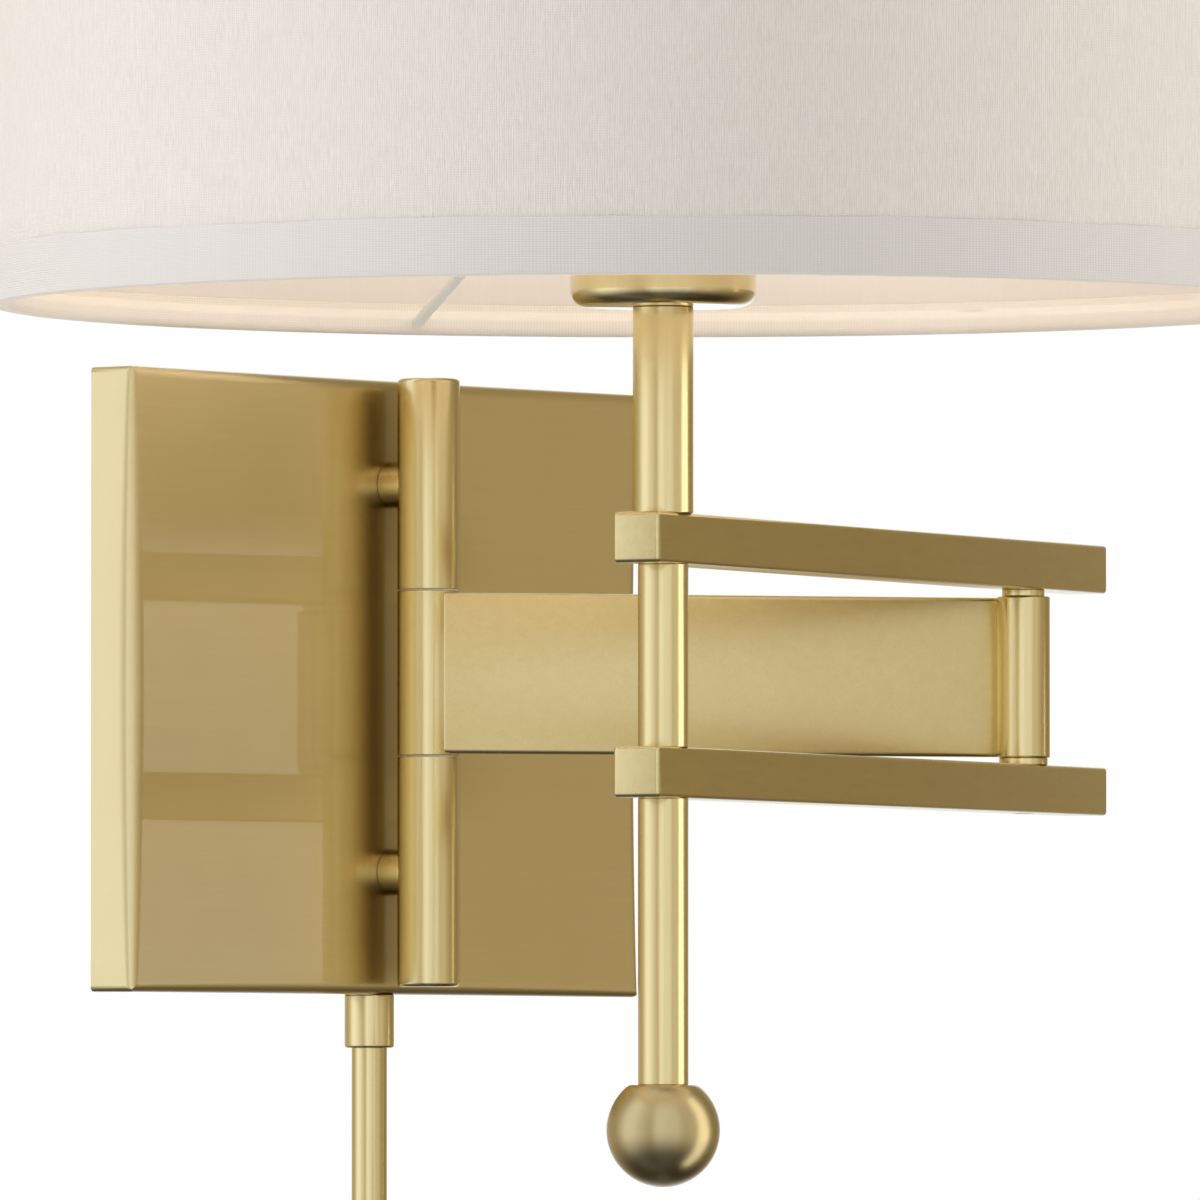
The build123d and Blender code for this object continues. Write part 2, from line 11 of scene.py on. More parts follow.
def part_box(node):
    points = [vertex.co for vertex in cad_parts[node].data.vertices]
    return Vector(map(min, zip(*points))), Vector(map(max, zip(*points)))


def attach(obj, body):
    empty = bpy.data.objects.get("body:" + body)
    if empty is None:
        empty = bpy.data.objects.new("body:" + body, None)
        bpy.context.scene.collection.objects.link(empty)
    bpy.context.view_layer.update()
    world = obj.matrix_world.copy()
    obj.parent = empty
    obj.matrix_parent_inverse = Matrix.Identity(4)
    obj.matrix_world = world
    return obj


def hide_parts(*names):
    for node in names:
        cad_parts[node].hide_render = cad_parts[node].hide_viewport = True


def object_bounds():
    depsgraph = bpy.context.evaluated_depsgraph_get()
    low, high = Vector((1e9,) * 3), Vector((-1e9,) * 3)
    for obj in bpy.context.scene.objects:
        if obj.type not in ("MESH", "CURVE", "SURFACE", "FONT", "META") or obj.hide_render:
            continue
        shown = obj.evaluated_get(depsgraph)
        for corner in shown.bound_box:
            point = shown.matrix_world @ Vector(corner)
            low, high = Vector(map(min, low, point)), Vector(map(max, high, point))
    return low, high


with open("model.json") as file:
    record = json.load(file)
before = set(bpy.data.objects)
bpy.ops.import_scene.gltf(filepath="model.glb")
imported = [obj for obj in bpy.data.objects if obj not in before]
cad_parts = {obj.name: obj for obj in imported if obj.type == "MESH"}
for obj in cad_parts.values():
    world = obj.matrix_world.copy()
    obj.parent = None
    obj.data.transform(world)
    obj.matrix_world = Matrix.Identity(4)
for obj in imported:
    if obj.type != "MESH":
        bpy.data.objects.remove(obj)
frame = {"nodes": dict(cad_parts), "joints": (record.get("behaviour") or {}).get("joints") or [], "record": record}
cad_low, cad_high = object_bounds()

MM = 0.001
JOINTS = {joint["name"]: joint for joint in frame["joints"]}

# ---- Places, all read from the CAD -----------------------------------------------------------


def span(node, axis):
    """Lowest and highest coordinate of a CAD node along one axis."""
    low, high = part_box(node)
    return low[axis], high[axis]


def middle(node):
    low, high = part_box(node)
    return (low + high) / 2


def radius_of(node):
    """Half of a CAD node's width: the radius of a part turned about an upright axis."""
    low, high = span(node, 0)
    return (high - low) / 2


hinge = Vector(JOINTS["wall_hinge"]["pos_m"])
elbow = Vector(JOINTS["elbow"]["pos_m"])
stem = middle("stem_middle")
link_way = (Vector((stem.x, stem.y, 0)) - Vector((elbow.x, elbow.y, 0))).normalized()
link_reach = hypot(stem.x - elbow.x, stem.y - elbow.y)
SHADE_BOTTOM, SHADE_TOP = span("shade_shell", 2)
SHADE_RADIUS = radius_of("shade_shell")

# ---- Node helpers ----------------------------------------------------------------------------


class Tree:
    """A short way to write a node tree."""

    def __init__(self, tree):
        self.tree = tree

    def add(self, kind, inputs=None, **settings):
        node = self.tree.nodes.new("ShaderNode" + kind)
        for key, value in settings.items():
            setattr(node, key, value)
        for key, value in (inputs or {}).items():
            self.feed(node.inputs[key], value)
        return node

    def feed(self, socket, value):
        if isinstance(value, bpy.types.NodeSocket):
            self.tree.links.new(value, socket)
        elif isinstance(value, bpy.types.Node):
            self.tree.links.new(value.outputs[0], socket)
        else:
            socket.default_value = value

    def ramp(self, value, stops):
        """A colour ramp; stops are (place, grey or colour)."""
        node = self.add("ValToRGB", {"Fac": value})
        elements = node.color_ramp.elements
        while len(elements) < len(stops):
            elements.new(0.5)
        for element, (place, colour) in zip(elements, stops):
            element.position = place
            if not hasattr(colour, "__len__"):
                colour = (colour, colour, colour)
            element.color = (*colour[:3], 1)
        return node.outputs["Color"]

    def maths(self, operation, first, second=0.0):
        node = self.add("Math", {0: first, 1: second}, operation=operation)
        return node.outputs["Value"]


class Nodes(Tree):
    """A new material and its node tree."""

    def __init__(self, name):
        self.material = bpy.data.materials.new(name)
        self.material.use_nodes = True
        super().__init__(self.material.node_tree)
        self.shader = self.tree.nodes["Principled BSDF"]
        self.output = self.tree.nodes["Material Output"]
        coordinates = self.tree.nodes.new("ShaderNodeTexCoord")
        self.place = coordinates.outputs["Object"]

    def set(self, **values):
        for key, value in values.items():
            self.feed(self.shader.inputs[key.replace("_", " ")], value)

    def grain(self, turn=(0, 0, 0), scale=(1, 1, 1), detail=3.0):
        """Noise stretched along one direction: turn brings the grain on to the mapping's axes."""
        mapping = self.add("Mapping", {"Vector": self.place, "Rotation": turn, "Scale": scale})
        return self.noise(mapping, detail, 0.6)

    def noise(self, place, detail, roughness=0.5):
        inputs = {"Vector": place, "Scale": 1.0, "Detail": detail, "Roughness": roughness}
        return self.add("TexNoise", inputs).outputs["Fac"]

    def number(self, value, low, high):
        """Maps 0..1 to low..high."""
        node = self.add("MapRange", {"Value": value, "To Min": low, "To Max": high})
        return node.outputs["Result"]

    def mix(self, amount, first, second):
        node = self.add("Mix", data_type="RGBA")
        self.feed(node.inputs["Factor"], amount)
        self.feed(node.inputs["A"], first)
        self.feed(node.inputs["B"], second)
        return node.outputs["Result"]

    def bump(self, height, distance, strength):
        inputs = {"Height": height, "Distance": distance, "Strength": strength}
        return self.add("Bump", inputs).outputs["Normal"]


# ---- Materials -------------------------------------------------------------------------------

BRASS_LIGHT = (0.83, 0.705, 0.375, 1)
BRASS_DEEP = (0.76, 0.625, 0.315, 1)
BRASS_AGED = (0.72, 0.555, 0.27, 1)
# dark bronze that the brass is pulled towards as painted shade on the ball and bars
BRASS_PAINTED_DARK = (0.30, 0.235, 0.125, 1)
# colour of the painted shade laid on the brass where another part stands close over it
BRASS_PAINTED_SHADE = (0.34, 0.24, 0.085, 1)
BRUSH_DEPTH = 0.000035


def satin_brass(
    name, along="z", angle=0.0, roughness=(0.18, 0.27), streaks=1.0, lacquer=0.12, painted_shade_reach=0.0, depth=0.0
):
    """Brushed brass under clear lacquer.  The grain runs along z, or level at an angle from +X.

    The painted shade reach is how far, in metres, painted shade darkens the finish where another part stands close
    over it, and depth is how far the whole finish is painted darker towards bronze: a shaded copy of the brass,
    painted shade."""
    nodes = Nodes(name)
    across, lengthwise, broad_share = 3000, 45, 0.16
    scale = (across, across, lengthwise) if along == "z" else (lengthwise, across, across)
    broad_scale = tuple(value * broad_share for value in scale)
    turn = (0, 0, -angle)
    fine = nodes.grain(turn, scale, detail=2)
    broad = nodes.grain(turn, broad_scale, detail=4)
    cloud = nodes.grain(scale=(28, 28, 28), detail=3)
    streak = nodes.maths("ADD", nodes.maths("MULTIPLY", fine, 0.55), nodes.maths("MULTIPLY", broad, 0.45))
    half = 0.5 * streaks
    tone = nodes.mix(nodes.ramp(streak, [(0.3, 0.5 - half), (0.7, 0.5 + half)]), BRASS_DEEP, BRASS_LIGHT)
    aged = nodes.mix(nodes.ramp(cloud, [(0.4, 0), (0.8, 0.2)]), tone, BRASS_AGED)
    # painted shade: depth darkens the whole finish towards dark bronze, a shaded copy of the brass
    if depth:
        aged = nodes.mix(depth, aged, BRASS_PAINTED_DARK)
    # painted shade: ambient occlusion darkens the base colour where another part stands close over the surface
    if painted_shade_reach:
        open_sky = nodes.add("AmbientOcclusion", {"Distance": painted_shade_reach}, samples=12).outputs["AO"]
        aged = nodes.mix(nodes.ramp(open_sky, [(0.25, 0), (0.9, 1)]), BRASS_PAINTED_SHADE, aged)
    nodes.set(Base_Color=aged, Metallic=1.0, Coat_Weight=lacquer, Coat_Roughness=0.03)
    nodes.set(Roughness=nodes.number(streak, *roughness))
    nodes.set(Normal=nodes.bump(streak, BRUSH_DEPTH, 0.55 * streaks))
    return nodes.material


def plain_metal(name, colour, roughness):
    nodes = Nodes(name)
    fine = nodes.grain(scale=(900, 900, 900), detail=4)
    dark = tuple(value * 0.72 for value in colour) + (1,)
    tone = nodes.mix(nodes.ramp(fine, [(0.35, 0), (0.65, 1)]), dark, (*colour, 1))
    nodes.set(Base_Color=tone, Metallic=1.0)
    nodes.set(Roughness=nodes.number(fine, roughness - 0.08, roughness + 0.1))
    nodes.set(Normal=nodes.bump(fine, 0.00002, 0.4))
    return nodes.material


def plain_plastic(name, colour, roughness):
    nodes = Nodes(name)
    fine = nodes.grain(scale=(1600, 1600, 1600), detail=3)
    dark = tuple(value * 0.85 for value in colour) + (1,)
    nodes.set(Base_Color=nodes.mix(nodes.ramp(fine, [(0.4, 0), (0.6, 1)]), dark, (*colour, 1)))
    nodes.set(Roughness=nodes.number(fine, roughness - 0.06, roughness + 0.08))
    nodes.set(Normal=nodes.bump(fine, 0.00004, 0.35))
    return nodes.material


def painted_wire(name):
    nodes = Nodes(name)
    peel = nodes.grain(scale=(1100, 1100, 1100), detail=2)
    nodes.set(Base_Color=nodes.mix(peel, (0.80, 0.79, 0.76, 1), (0.88, 0.87, 0.85, 1)))
    nodes.set(Roughness=nodes.number(peel, 0.3, 0.45))
    nodes.set(Normal=nodes.bump(peel, 0.00005, 0.4))
    return nodes.material


def shade_around(nodes):
    """Length round the drum and height, in metres, from the stem's axis."""
    separate = nodes.add("SeparateXYZ", {"Vector": nodes.place})
    off_x = nodes.maths("SUBTRACT", separate.outputs["X"], stem.x)
    off_y = nodes.maths("SUBTRACT", separate.outputs["Y"], stem.y)
    angle = nodes.maths("ARCTAN2", off_y, off_x)
    return nodes.maths("MULTIPLY", angle, SHADE_RADIUS), separate.outputs["Z"]


def weave(nodes, pitch, contrast):
    """Plain weave: warp runs up the drum and weft round it, each thread a rounded rib."""
    round_length, height = shade_around(nodes)
    wobble = nodes.grain(scale=(130, 130, 130), detail=4)
    warp_at = nodes.maths("ADD", round_length, nodes.maths("MULTIPLY", wobble, pitch * 1.6))
    weft_at = nodes.maths("ADD", height, nodes.maths("MULTIPLY", wobble, pitch * 1.3))
    turns = 2 * pi / pitch
    warp = nodes.maths("SINE", nodes.maths("MULTIPLY", warp_at, turns))
    weft = nodes.maths("SINE", nodes.maths("MULTIPLY", weft_at, turns))
    both = nodes.maths("MULTIPLY", warp, weft)
    ribs = nodes.maths("MULTIPLY", warp, 1.9)
    cross = nodes.maths("MULTIPLY", nodes.maths("ADD", ribs, nodes.maths("ADD", weft, both)), contrast)
    return round_length, height, nodes.maths("ADD", cross, 0.5)


def slubs(nodes, round_length, height, across, lengthwise, low, high):
    """Thick places in the threads that run up the drum."""
    place = nodes.add("CombineXYZ", {"X": round_length, "Y": height, "Z": 0.0})
    mapping = nodes.add("Mapping", {"Vector": place, "Scale": (across, lengthwise, 1)})
    return nodes.ramp(nodes.noise(mapping, 3.0, 0.55), [(low, 0), (high, 1)])


THREAD_PITCH = 0.013


def stray_threads(nodes, round_length, height):
    """A few long thick threads, thin lines that start and stop and lean a little."""
    place = nodes.add("CombineXYZ", {"X": round_length, "Y": height, "Z": 0.0})
    drift = nodes.add("Mapping", {"Vector": place, "Scale": (20, 6, 1)})
    drift = nodes.noise(drift, 1.0)
    phase = nodes.maths("MULTIPLY", round_length, 2 * pi / THREAD_PITCH)
    phase = nodes.maths("ADD", phase, nodes.maths("MULTIPLY", drift, 8))
    near = nodes.maths("ABSOLUTE", nodes.maths("SINE", phase))
    thin = nodes.ramp(near, [(0.0, 1), (0.055, 0)])
    patches = nodes.add("Mapping", {"Vector": place, "Location": (3, 7, 0), "Scale": (60, 16, 1)})
    patch = nodes.noise(patches, 2.0)
    return nodes.maths("MULTIPLY", thin, nodes.ramp(patch, [(0.56, 0), (0.62, 1)]))


LINEN_DARK, LINEN_LIGHT = (0.68, 0.635, 0.60, 1), (0.875, 0.845, 0.81, 1)
LINEN_CLOUD = (0.72, 0.68, 0.64, 1)
SLUB_PALE, SLUB_DARK = (0.91, 0.885, 0.855, 1), (0.62, 0.575, 0.535, 1)
THREAD_PALE = (0.93, 0.91, 0.88, 1)
LINEN_DEPTH = 0.00018
LET_THROUGH = 0.22


def linen(name):
    """Slubbed off-white linen with a rib up the drum; light comes through it a little."""
    nodes = Nodes(name)
    round_length, height, cross = weave(nodes, 0.0006, 0.13)
    fine_slubs = slubs(nodes, round_length, height, 2300, 260, 0.42, 0.72)
    dark_slubs = slubs(nodes, round_length, height, 1900, 170, 0.5, 0.76)
    long_slubs = slubs(nodes, round_length, height, 1300, 22, 0.56, 0.7)
    threads = stray_threads(nodes, round_length, height)
    cloud = nodes.grain(scale=(14, 14, 14), detail=3)
    tone = nodes.mix(nodes.ramp(cross, [(0.05, 0), (0.95, 1)]), LINEN_DARK, LINEN_LIGHT)
    for marks, share, colour in (
        (fine_slubs, 0.45, SLUB_PALE),
        (dark_slubs, 0.35, SLUB_DARK),
        (long_slubs, 0.3, SLUB_PALE),
        (threads, 0.6, THREAD_PALE),
        (cloud, 0.10, LINEN_CLOUD),
    ):
        tone = nodes.mix(nodes.maths("MULTIPLY", marks, share), tone, colour)
    weave_height = nodes.maths("MULTIPLY", cross, 0.7)
    weave_height = nodes.maths("ADD", weave_height, nodes.maths("MULTIPLY", fine_slubs, 0.5))
    thread_height = nodes.maths("ADD", threads, nodes.maths("MULTIPLY", long_slubs, 0.4))
    normal = nodes.bump(nodes.maths("ADD", weave_height, thread_height), LINEN_DEPTH, 0.6)
    nodes.set(Base_Color=tone, Roughness=0.95, Sheen_Weight=0.15, Sheen_Roughness=0.5, Normal=normal)
    return with_translucence(nodes, tone, normal, LET_THROUGH)


def liner(name):
    """The inside of the drum: smooth styrene, its colour painted warm and bright as a painted glow of the light
    let through the linen.
    """
    nodes = Nodes(name)
    round_length, height, cross = weave(nodes, 0.00062, 0.16)
    long_slubs = slubs(nodes, round_length, height, 900, 42, 0.5, 0.75)
    # painted glow: warm, bright liner colours stand in for the light inside the drum
    tone = nodes.mix(nodes.maths("MULTIPLY", long_slubs, 0.35), (0.90, 0.83, 0.745, 1), (0.94, 0.88, 0.80, 1))
    normal = nodes.bump(cross, 0.00004, 0.3)
    nodes.set(Base_Color=tone, Roughness=0.6, Normal=normal)
    return with_translucence(nodes, tone, normal, LET_THROUGH)


def tape(name, dark=(0.585, 0.56, 0.535, 1), light=(0.69, 0.665, 0.635, 1)):
    """White binding tape with a fine rib across it."""
    nodes = Nodes(name)
    round_length, height = shade_around(nodes)
    rib = nodes.maths("SINE", nodes.maths("MULTIPLY", round_length, 2 * pi / 0.00085))
    weft = nodes.maths("SINE", nodes.maths("MULTIPLY", height, 2 * pi / 0.0006))
    cross = nodes.maths("ADD", nodes.maths("MULTIPLY", nodes.maths("ADD", rib, weft), 0.22), 0.5)
    cloud = nodes.grain(scale=(160, 160, 160), detail=3)
    tone = nodes.mix(cross, dark, light)
    tone = nodes.mix(nodes.maths("MULTIPLY", cloud, 0.15), tone, (0.56, 0.535, 0.51, 1))
    normal = nodes.bump(cross, 0.0001, 0.6)
    nodes.set(Base_Color=tone, Roughness=0.9, Sheen_Weight=0.1, Normal=normal)
    return nodes.material


def with_translucence(nodes, tone, normal, amount):
    """Lets some light through a cloth."""
    through = nodes.add("BsdfTranslucent", {"Color": tone, "Normal": normal})
    mixed = nodes.add("MixShader", {"Fac": amount, 1: nodes.shader.outputs[0], 2: through.outputs[0]})
    nodes.feed(nodes.output.inputs["Surface"], mixed.outputs[0])
    return nodes.material


def frosted_glass(name):
    nodes = Nodes(name)
    speck = nodes.grain(scale=(700, 700, 700), detail=3)
    nodes.set(Base_Color=nodes.mix(speck, (0.90, 0.89, 0.86, 1), (0.96, 0.95, 0.93, 1)))
    nodes.set(Roughness=nodes.number(speck, 0.18, 0.3), Subsurface_Weight=0.3, Subsurface_Scale=0.004)
    nodes.set(Normal=nodes.bump(speck, 0.00003, 0.3), Coat_Weight=0.3, Coat_Roughness=0.08)
    return nodes.material


brass_turned = satin_brass("brass_turned", "z")
# the ball is a darker copy of the brass, painted shade
brass_ball = satin_brass("brass_ball", "z", roughness=(0.26, 0.34), streaks=0.5, depth=0.45)
brass_cup = satin_brass("brass_cup", "z", roughness=(0.2, 0.28), lacquer=0.9)
# the plate gets painted shade beside the hinge tubes and standoffs
brass_plate = satin_brass("brass_plate", "level", 0.0, (0.34, 0.4), streaks=0.45, lacquer=1.0, painted_shade_reach=0.026)
strip_angle = atan2(elbow.y - hinge.y, elbow.x - hinge.x)
brass_strip = satin_brass("brass_strip", "level", strip_angle, roughness=(0.26, 0.36), streaks=1.2)
link_angle = atan2(link_way.y, link_way.x)
# the bars are a slightly darker copy of the brass, painted shade
brass_bars = satin_brass("brass_bars", "level", link_angle, roughness=(0.2, 0.3), streaks=1.4, depth=0.12)

# ---- Mesh helpers ----------------------------------------------------------------------------


def new_object(name, mesh):
    piece = bpy.data.objects.new(name, mesh)
    bpy.context.scene.collection.objects.link(piece)
    return piece


SHARP = 32


def mesh_from(name, vertices, faces, sharp=SHARP):
    mesh = bpy.data.meshes.new(name)
    mesh.from_pydata([tuple(vertex) for vertex in vertices], [], faces)
    mesh.validate()
    work = bmesh.new()
    work.from_mesh(mesh)
    bmesh.ops.recalc_face_normals(work, faces=work.faces)
    work.to_mesh(mesh)
    work.free()
    mesh.shade_smooth()
    mesh.set_sharp_from_angle(angle=radians(sharp))
    return new_object(name, mesh)


def dress(piece, material, body, slot, *nodes):
    piece.data.materials.clear()
    piece.data.materials.append(material)
    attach(piece, body)
    if nodes:
        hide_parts(*nodes)
    return piece


def rounded(corners, steps=5):
    """A profile through (r, z, fillet) corners, with each fillet turned into an arc."""
    points = []
    count = len(corners)
    for index, (r, z, fillet) in enumerate(corners):
        here = Vector((r, z))
        if not fillet:
            points.append((r, z))
            continue
        before = (Vector(corners[index - 1][:2]) - here).normalized()
        after = (Vector(corners[(index + 1) % count][:2]) - here).normalized()
        half = before.angle(after) / 2
        start, end = here + before * (fillet / tan(half)), here + after * (fillet / tan(half))
        centre = here + (before + after).normalized() * (fillet / sin(half))
        for step in range(steps + 1):
            way = (start - centre).lerp(end - centre, step / steps).normalized()
            points.append(tuple(centre + way * fillet))
    return points


def lathe(name, centre, profile, closed=False, segments=96, wave=None, sharp=SHARP):
    """Turns a profile of (r, z) about the vertical through centre.  wave adds to r by angle and z."""
    vertices, rings = [], []
    for r, z in profile:
        if r < 1e-7:
            rings.append([len(vertices)])
            vertices.append((centre.x, centre.y, z))
            continue
        ring = []
        for step in range(segments):
            angle = 2 * pi * step / segments
            radius = r + (wave(angle, z) if wave else 0)
            ring.append(len(vertices))
            vertices.append((centre.x + radius * cos(angle), centre.y + radius * sin(angle), z))
        rings.append(ring)
    faces = []
    pairs = list(zip(rings, rings[1:])) + ([(rings[-1], rings[0])] if closed else [])
    for first, second in pairs:
        for step in range(segments):
            following = (step + 1) % segments
            corners = [first[step % len(first)], first[following % len(first)]]
            corners += [second[following % len(second)], second[step % len(second)]]
            unique = list(dict.fromkeys(corners))
            if len(unique) > 2:
                faces.append(unique)
    return mesh_from(name, vertices, faces, sharp)


def turned_bar(name, node, body, edge, bore=0.0, bottom_edge=None):
    """A round brass bar or tube in a node's place, with rounded rims."""
    low, high = span(node, 2)
    centre = middle(node)
    radius = radius_of(node)
    foot = edge if bottom_edge is None else bottom_edge
    if bore:
        corners = [(bore, low, 0), (radius, low, foot), (radius, high, edge), (bore, high, 0)]
    else:
        corners = [(0, low, 0), (radius, low, foot), (radius, high, edge), (0, high, 0)]
    piece = lathe(name, centre, rounded(corners), closed=bool(bore))
    return dress(piece, brass_turned, body, "satin_brass", node)


def rounded_box(name, low, high, edge, steps):
    """A box with every edge rounded, as a bmesh bevel."""
    work = bmesh.new()
    bmesh.ops.create_cube(work, size=1)
    low, high = Vector(low), Vector(high)
    for vertex in work.verts:
        vertex.co = Vector((low[i] if vertex.co[i] < 0 else high[i] for i in range(3)))
    bmesh.ops.bevel(work, geom=work.edges[:], offset=edge, segments=steps, profile=0.5, affect="EDGES")
    mesh = bpy.data.meshes.new(name)
    work.to_mesh(mesh)
    work.free()
    mesh.shade_smooth()
    mesh.set_sharp_from_angle(angle=radians(SHARP))
    return new_object(name, mesh)


def turn_into(piece, origin, angle):
    """Moves a mesh made at the origin along +X to a place and direction in plan."""
    piece.data.transform(Matrix.Translation(origin) @ Matrix.Rotation(angle, 4, "Z"))
    return piece


# ---- Wall plate ------------------------------------------------------------------------------


def plate_radius(height, half_height, least, most):
    """Fold radius of the plate's front edge: the sheet is stretched softer midway along a side."""
    return least + (most - least) * max(0.0, cos(pi / 2 * height / half_height)) ** 0.8


def back_plate():
    """A drawn pan: rounded front edge whose radius swells midway, and a turned-in back rim."""
    low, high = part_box("back_plate")
    sheet = 1.2 * MM
    half_width, half_height = (high.x - low.x) / 2, (high.z - low.z) / 2
    arc_steps, corner_steps = 7, 6
    corner = 1.8 * MM

    def outline(inset, side_points):
        """Points round the pan, at a distance in from its outer wall; equal in number for any inset."""
        points = []
        w, h = half_width - inset, half_height - inset
        turn = max(corner - inset, 0.25 * MM)
        for quarter, (sx, sz) in enumerate(((1, 1), (-1, 1), (-1, -1), (1, -1))):
            cx, cz = sx * (w - turn), sz * (h - turn)
            for step in range(corner_steps + 1):
                angle = pi / 2 * (quarter + step / corner_steps)
                points.append((cx + turn * cos(angle), cz + turn * sin(angle)))
            nx, nz = ((-1, 1), (-1, -1), (1, -1), (1, 1))[quarter]
            end = (nx * (w - turn), nz * h) if quarter % 2 == 0 else (nx * w, nz * (h - turn))
            start = points[-1]
            for step in range(1, side_points):
                part = step / side_points
                points.append((start[0] + (end[0] - start[0]) * part, start[1] + (end[1] - start[1]) * part))
        return points

    sides = 24
    outer = outline(0, sides)
    count = len(outer)

    def fold(x, z):
        along_side = abs(abs(x) - half_width) < corner
        if along_side:
            return plate_radius(z, half_height, 2.0 * MM, 4.6 * MM)
        return plate_radius(x, half_width, 2.0 * MM, 2.8 * MM)

    def ring_at(shrink, depth_at, radii):
        """One loop: each outline point moved inward by shrink(radius) and forward by depth_at(radius)."""
        ring = []
        for (x, z), radius in zip(outer, radii):
            inset = shrink(radius)
            px = max(-half_width + inset, min(half_width - inset, x)) if abs(x) > half_width - inset else x
            pz = max(-half_height + inset, min(half_height - inset, z)) if abs(z) > half_height - inset else z
            ring.append((px, depth_at(radius), pz))
        return ring

    radii = [fold(x, z) for x, z in outer]
    rings = []
    centre = Vector(((low.x + high.x) / 2, 0, (low.z + high.z) / 2))
    # outside: back rim, side wall, rounded fold, on to the flat front
    rings.append(ring_at(lambda r: sheet, lambda r: high.y, radii))
    rings.append(ring_at(lambda r: 0.25 * MM, lambda r: high.y, radii))
    rings.append(ring_at(lambda r: 0.0, lambda r: high.y - 0.25 * MM, radii))
    for step in range(arc_steps + 1):
        angle = pi / 2 * step / arc_steps
        rings.append(
            ring_at(
                lambda r, a=angle: r * (1 - cos(a)),
                lambda r, a=angle: low.y + r * (1 - sin(a)),
                radii,
            )
        )
    rings.append(ring_at(lambda r: r + 0.8 * MM, lambda r: low.y, radii))
    vertices = [Vector((x, y, z)) + centre for ring in rings for x, y, z in ring]
    faces = []
    for level in range(len(rings) - 1):
        for step in range(count):
            following = (step + 1) % count
            a, b = level * count, (level + 1) * count
            faces.append([a + step, a + following, b + following, b + step])
    front = (len(rings) - 1) * count
    faces.append([front + step for step in range(count)])
    # inside: a plain pan one sheet in
    inner = len(vertices)
    inset_ring = [(x, z) for x, _, z in rings[0]]
    vertices += [Vector((x, low.y + sheet + 1.2 * MM, z)) + centre for x, z in inset_ring]
    shrunk = [(x * (1 - 1.4 * MM / half_width), z * (1 - 1.4 * MM / half_height)) for x, z in inset_ring]
    vertices += [Vector((x, low.y + sheet, z)) + centre for x, z in shrunk]
    for step in range(count):
        following = (step + 1) % count
        faces.append([step, following, inner + following, inner + step])
        faces.append([inner + step, inner + following, inner + count + following, inner + count + step])
    faces.append([inner + count + step for step in range(count)])
    piece = mesh_from("wall_plate_pan", vertices, faces, sharp=40)
    return dress(piece, brass_plate, "wall_plate", "satin_brass", "back_plate")


back_plate()

# ---- Hinge, knuckle, posts and stems ---------------------------------------------------------

pin_radius = radius_of("hinge_pin")
BARREL_BORE, RING_BORE = 3.3 * MM, 3.18 * MM
FERRULE_BORE, COVER_BORE = 4.6 * MM, 3.8 * MM
SOFT_RIM, CRISP_RIM = 1.1 * MM, 0.25 * MM
# piece, CAD node, body, top rim, bore, bottom rim where it differs
TURNED = (
    ("hinge_tube_top", "hinge_tube_upper", "wall_plate", SOFT_RIM, pin_radius, CRISP_RIM),
    ("hinge_tube_foot", "hinge_tube_lower", "wall_plate", CRISP_RIM, pin_radius, SOFT_RIM),
    ("knuckle", "arm_knuckle", "arm", 0.3 * MM, pin_radius + 0.1 * MM),
    ("elbow_barrel", "elbow_post", "arm", 0.55 * MM, BARREL_BORE),
    ("elbow_ring_top", "elbow_spacer_upper", "lamp", 0.2 * MM, RING_BORE),
    ("elbow_ring_foot", "elbow_spacer_lower", "lamp", 0.2 * MM, RING_BORE),
    ("stem_tube_top", "stem_upper", "lamp", 0.3 * MM),
    ("stem_tube_middle", "stem_middle", "lamp", CRISP_RIM),
    ("stem_tube_foot", "stem_lower", "lamp", CRISP_RIM),
    ("cord_ferrule_sleeve", "cord_ferrule", "wall_plate", 0.3 * MM, FERRULE_BORE, 0.7 * MM),
    ("cord_cover", "cord_cover_tube", "wall_plate", 0.2 * MM, COVER_BORE),
)
for turned in TURNED:
    turned_bar(*turned)


def ball():
    low, high = span("ball_finial", 2)
    radius = radius_of("ball_finial")
    centre_z = low + radius
    flat = sqrt(radius**2 - (high - centre_z) ** 2)
    start = atan2(high - centre_z, flat)
    steps = 40
    profile = [(0, high), (flat - 0.3 * MM, high)]
    for step in range(1, steps):
        angle = start - (start + pi / 2) * step / steps
        profile.append((radius * cos(angle), centre_z + radius * sin(angle)))
    profile.append((0, low))
    piece = lathe("ball_end", middle("ball_finial"), profile)
    dress(piece, brass_ball, "lamp", "satin_brass", "ball_finial")


ball()


def standoffs():
    """Round standoffs between the plate and the hinge tubes, with rounded rims."""
    for end in ("upper", "lower"):
        low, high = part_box(f"standoff_{end}")
        centre = (low + high) / 2
        radius, length, rim = (high.z - low.z) / 2, high.y - low.y, 0.2 * MM
        profile = rounded([(0, 0, 0), (radius, 0, rim), (radius, length, rim), (0, length, 0)])
        piece = lathe(f"standoff_{end}_turned", Vector((0, 0, 0)), profile, segments=64)
        turn = Matrix.Translation((centre.x, high.y, centre.z)) @ Matrix.Rotation(pi / 2, 4, "X")
        piece.data.transform(turn)
        dress(piece, brass_turned, "wall_plate", "satin_brass", f"standoff_{end}")


standoffs()

# ---- Arm strip and link bars -----------------------------------------------------------------


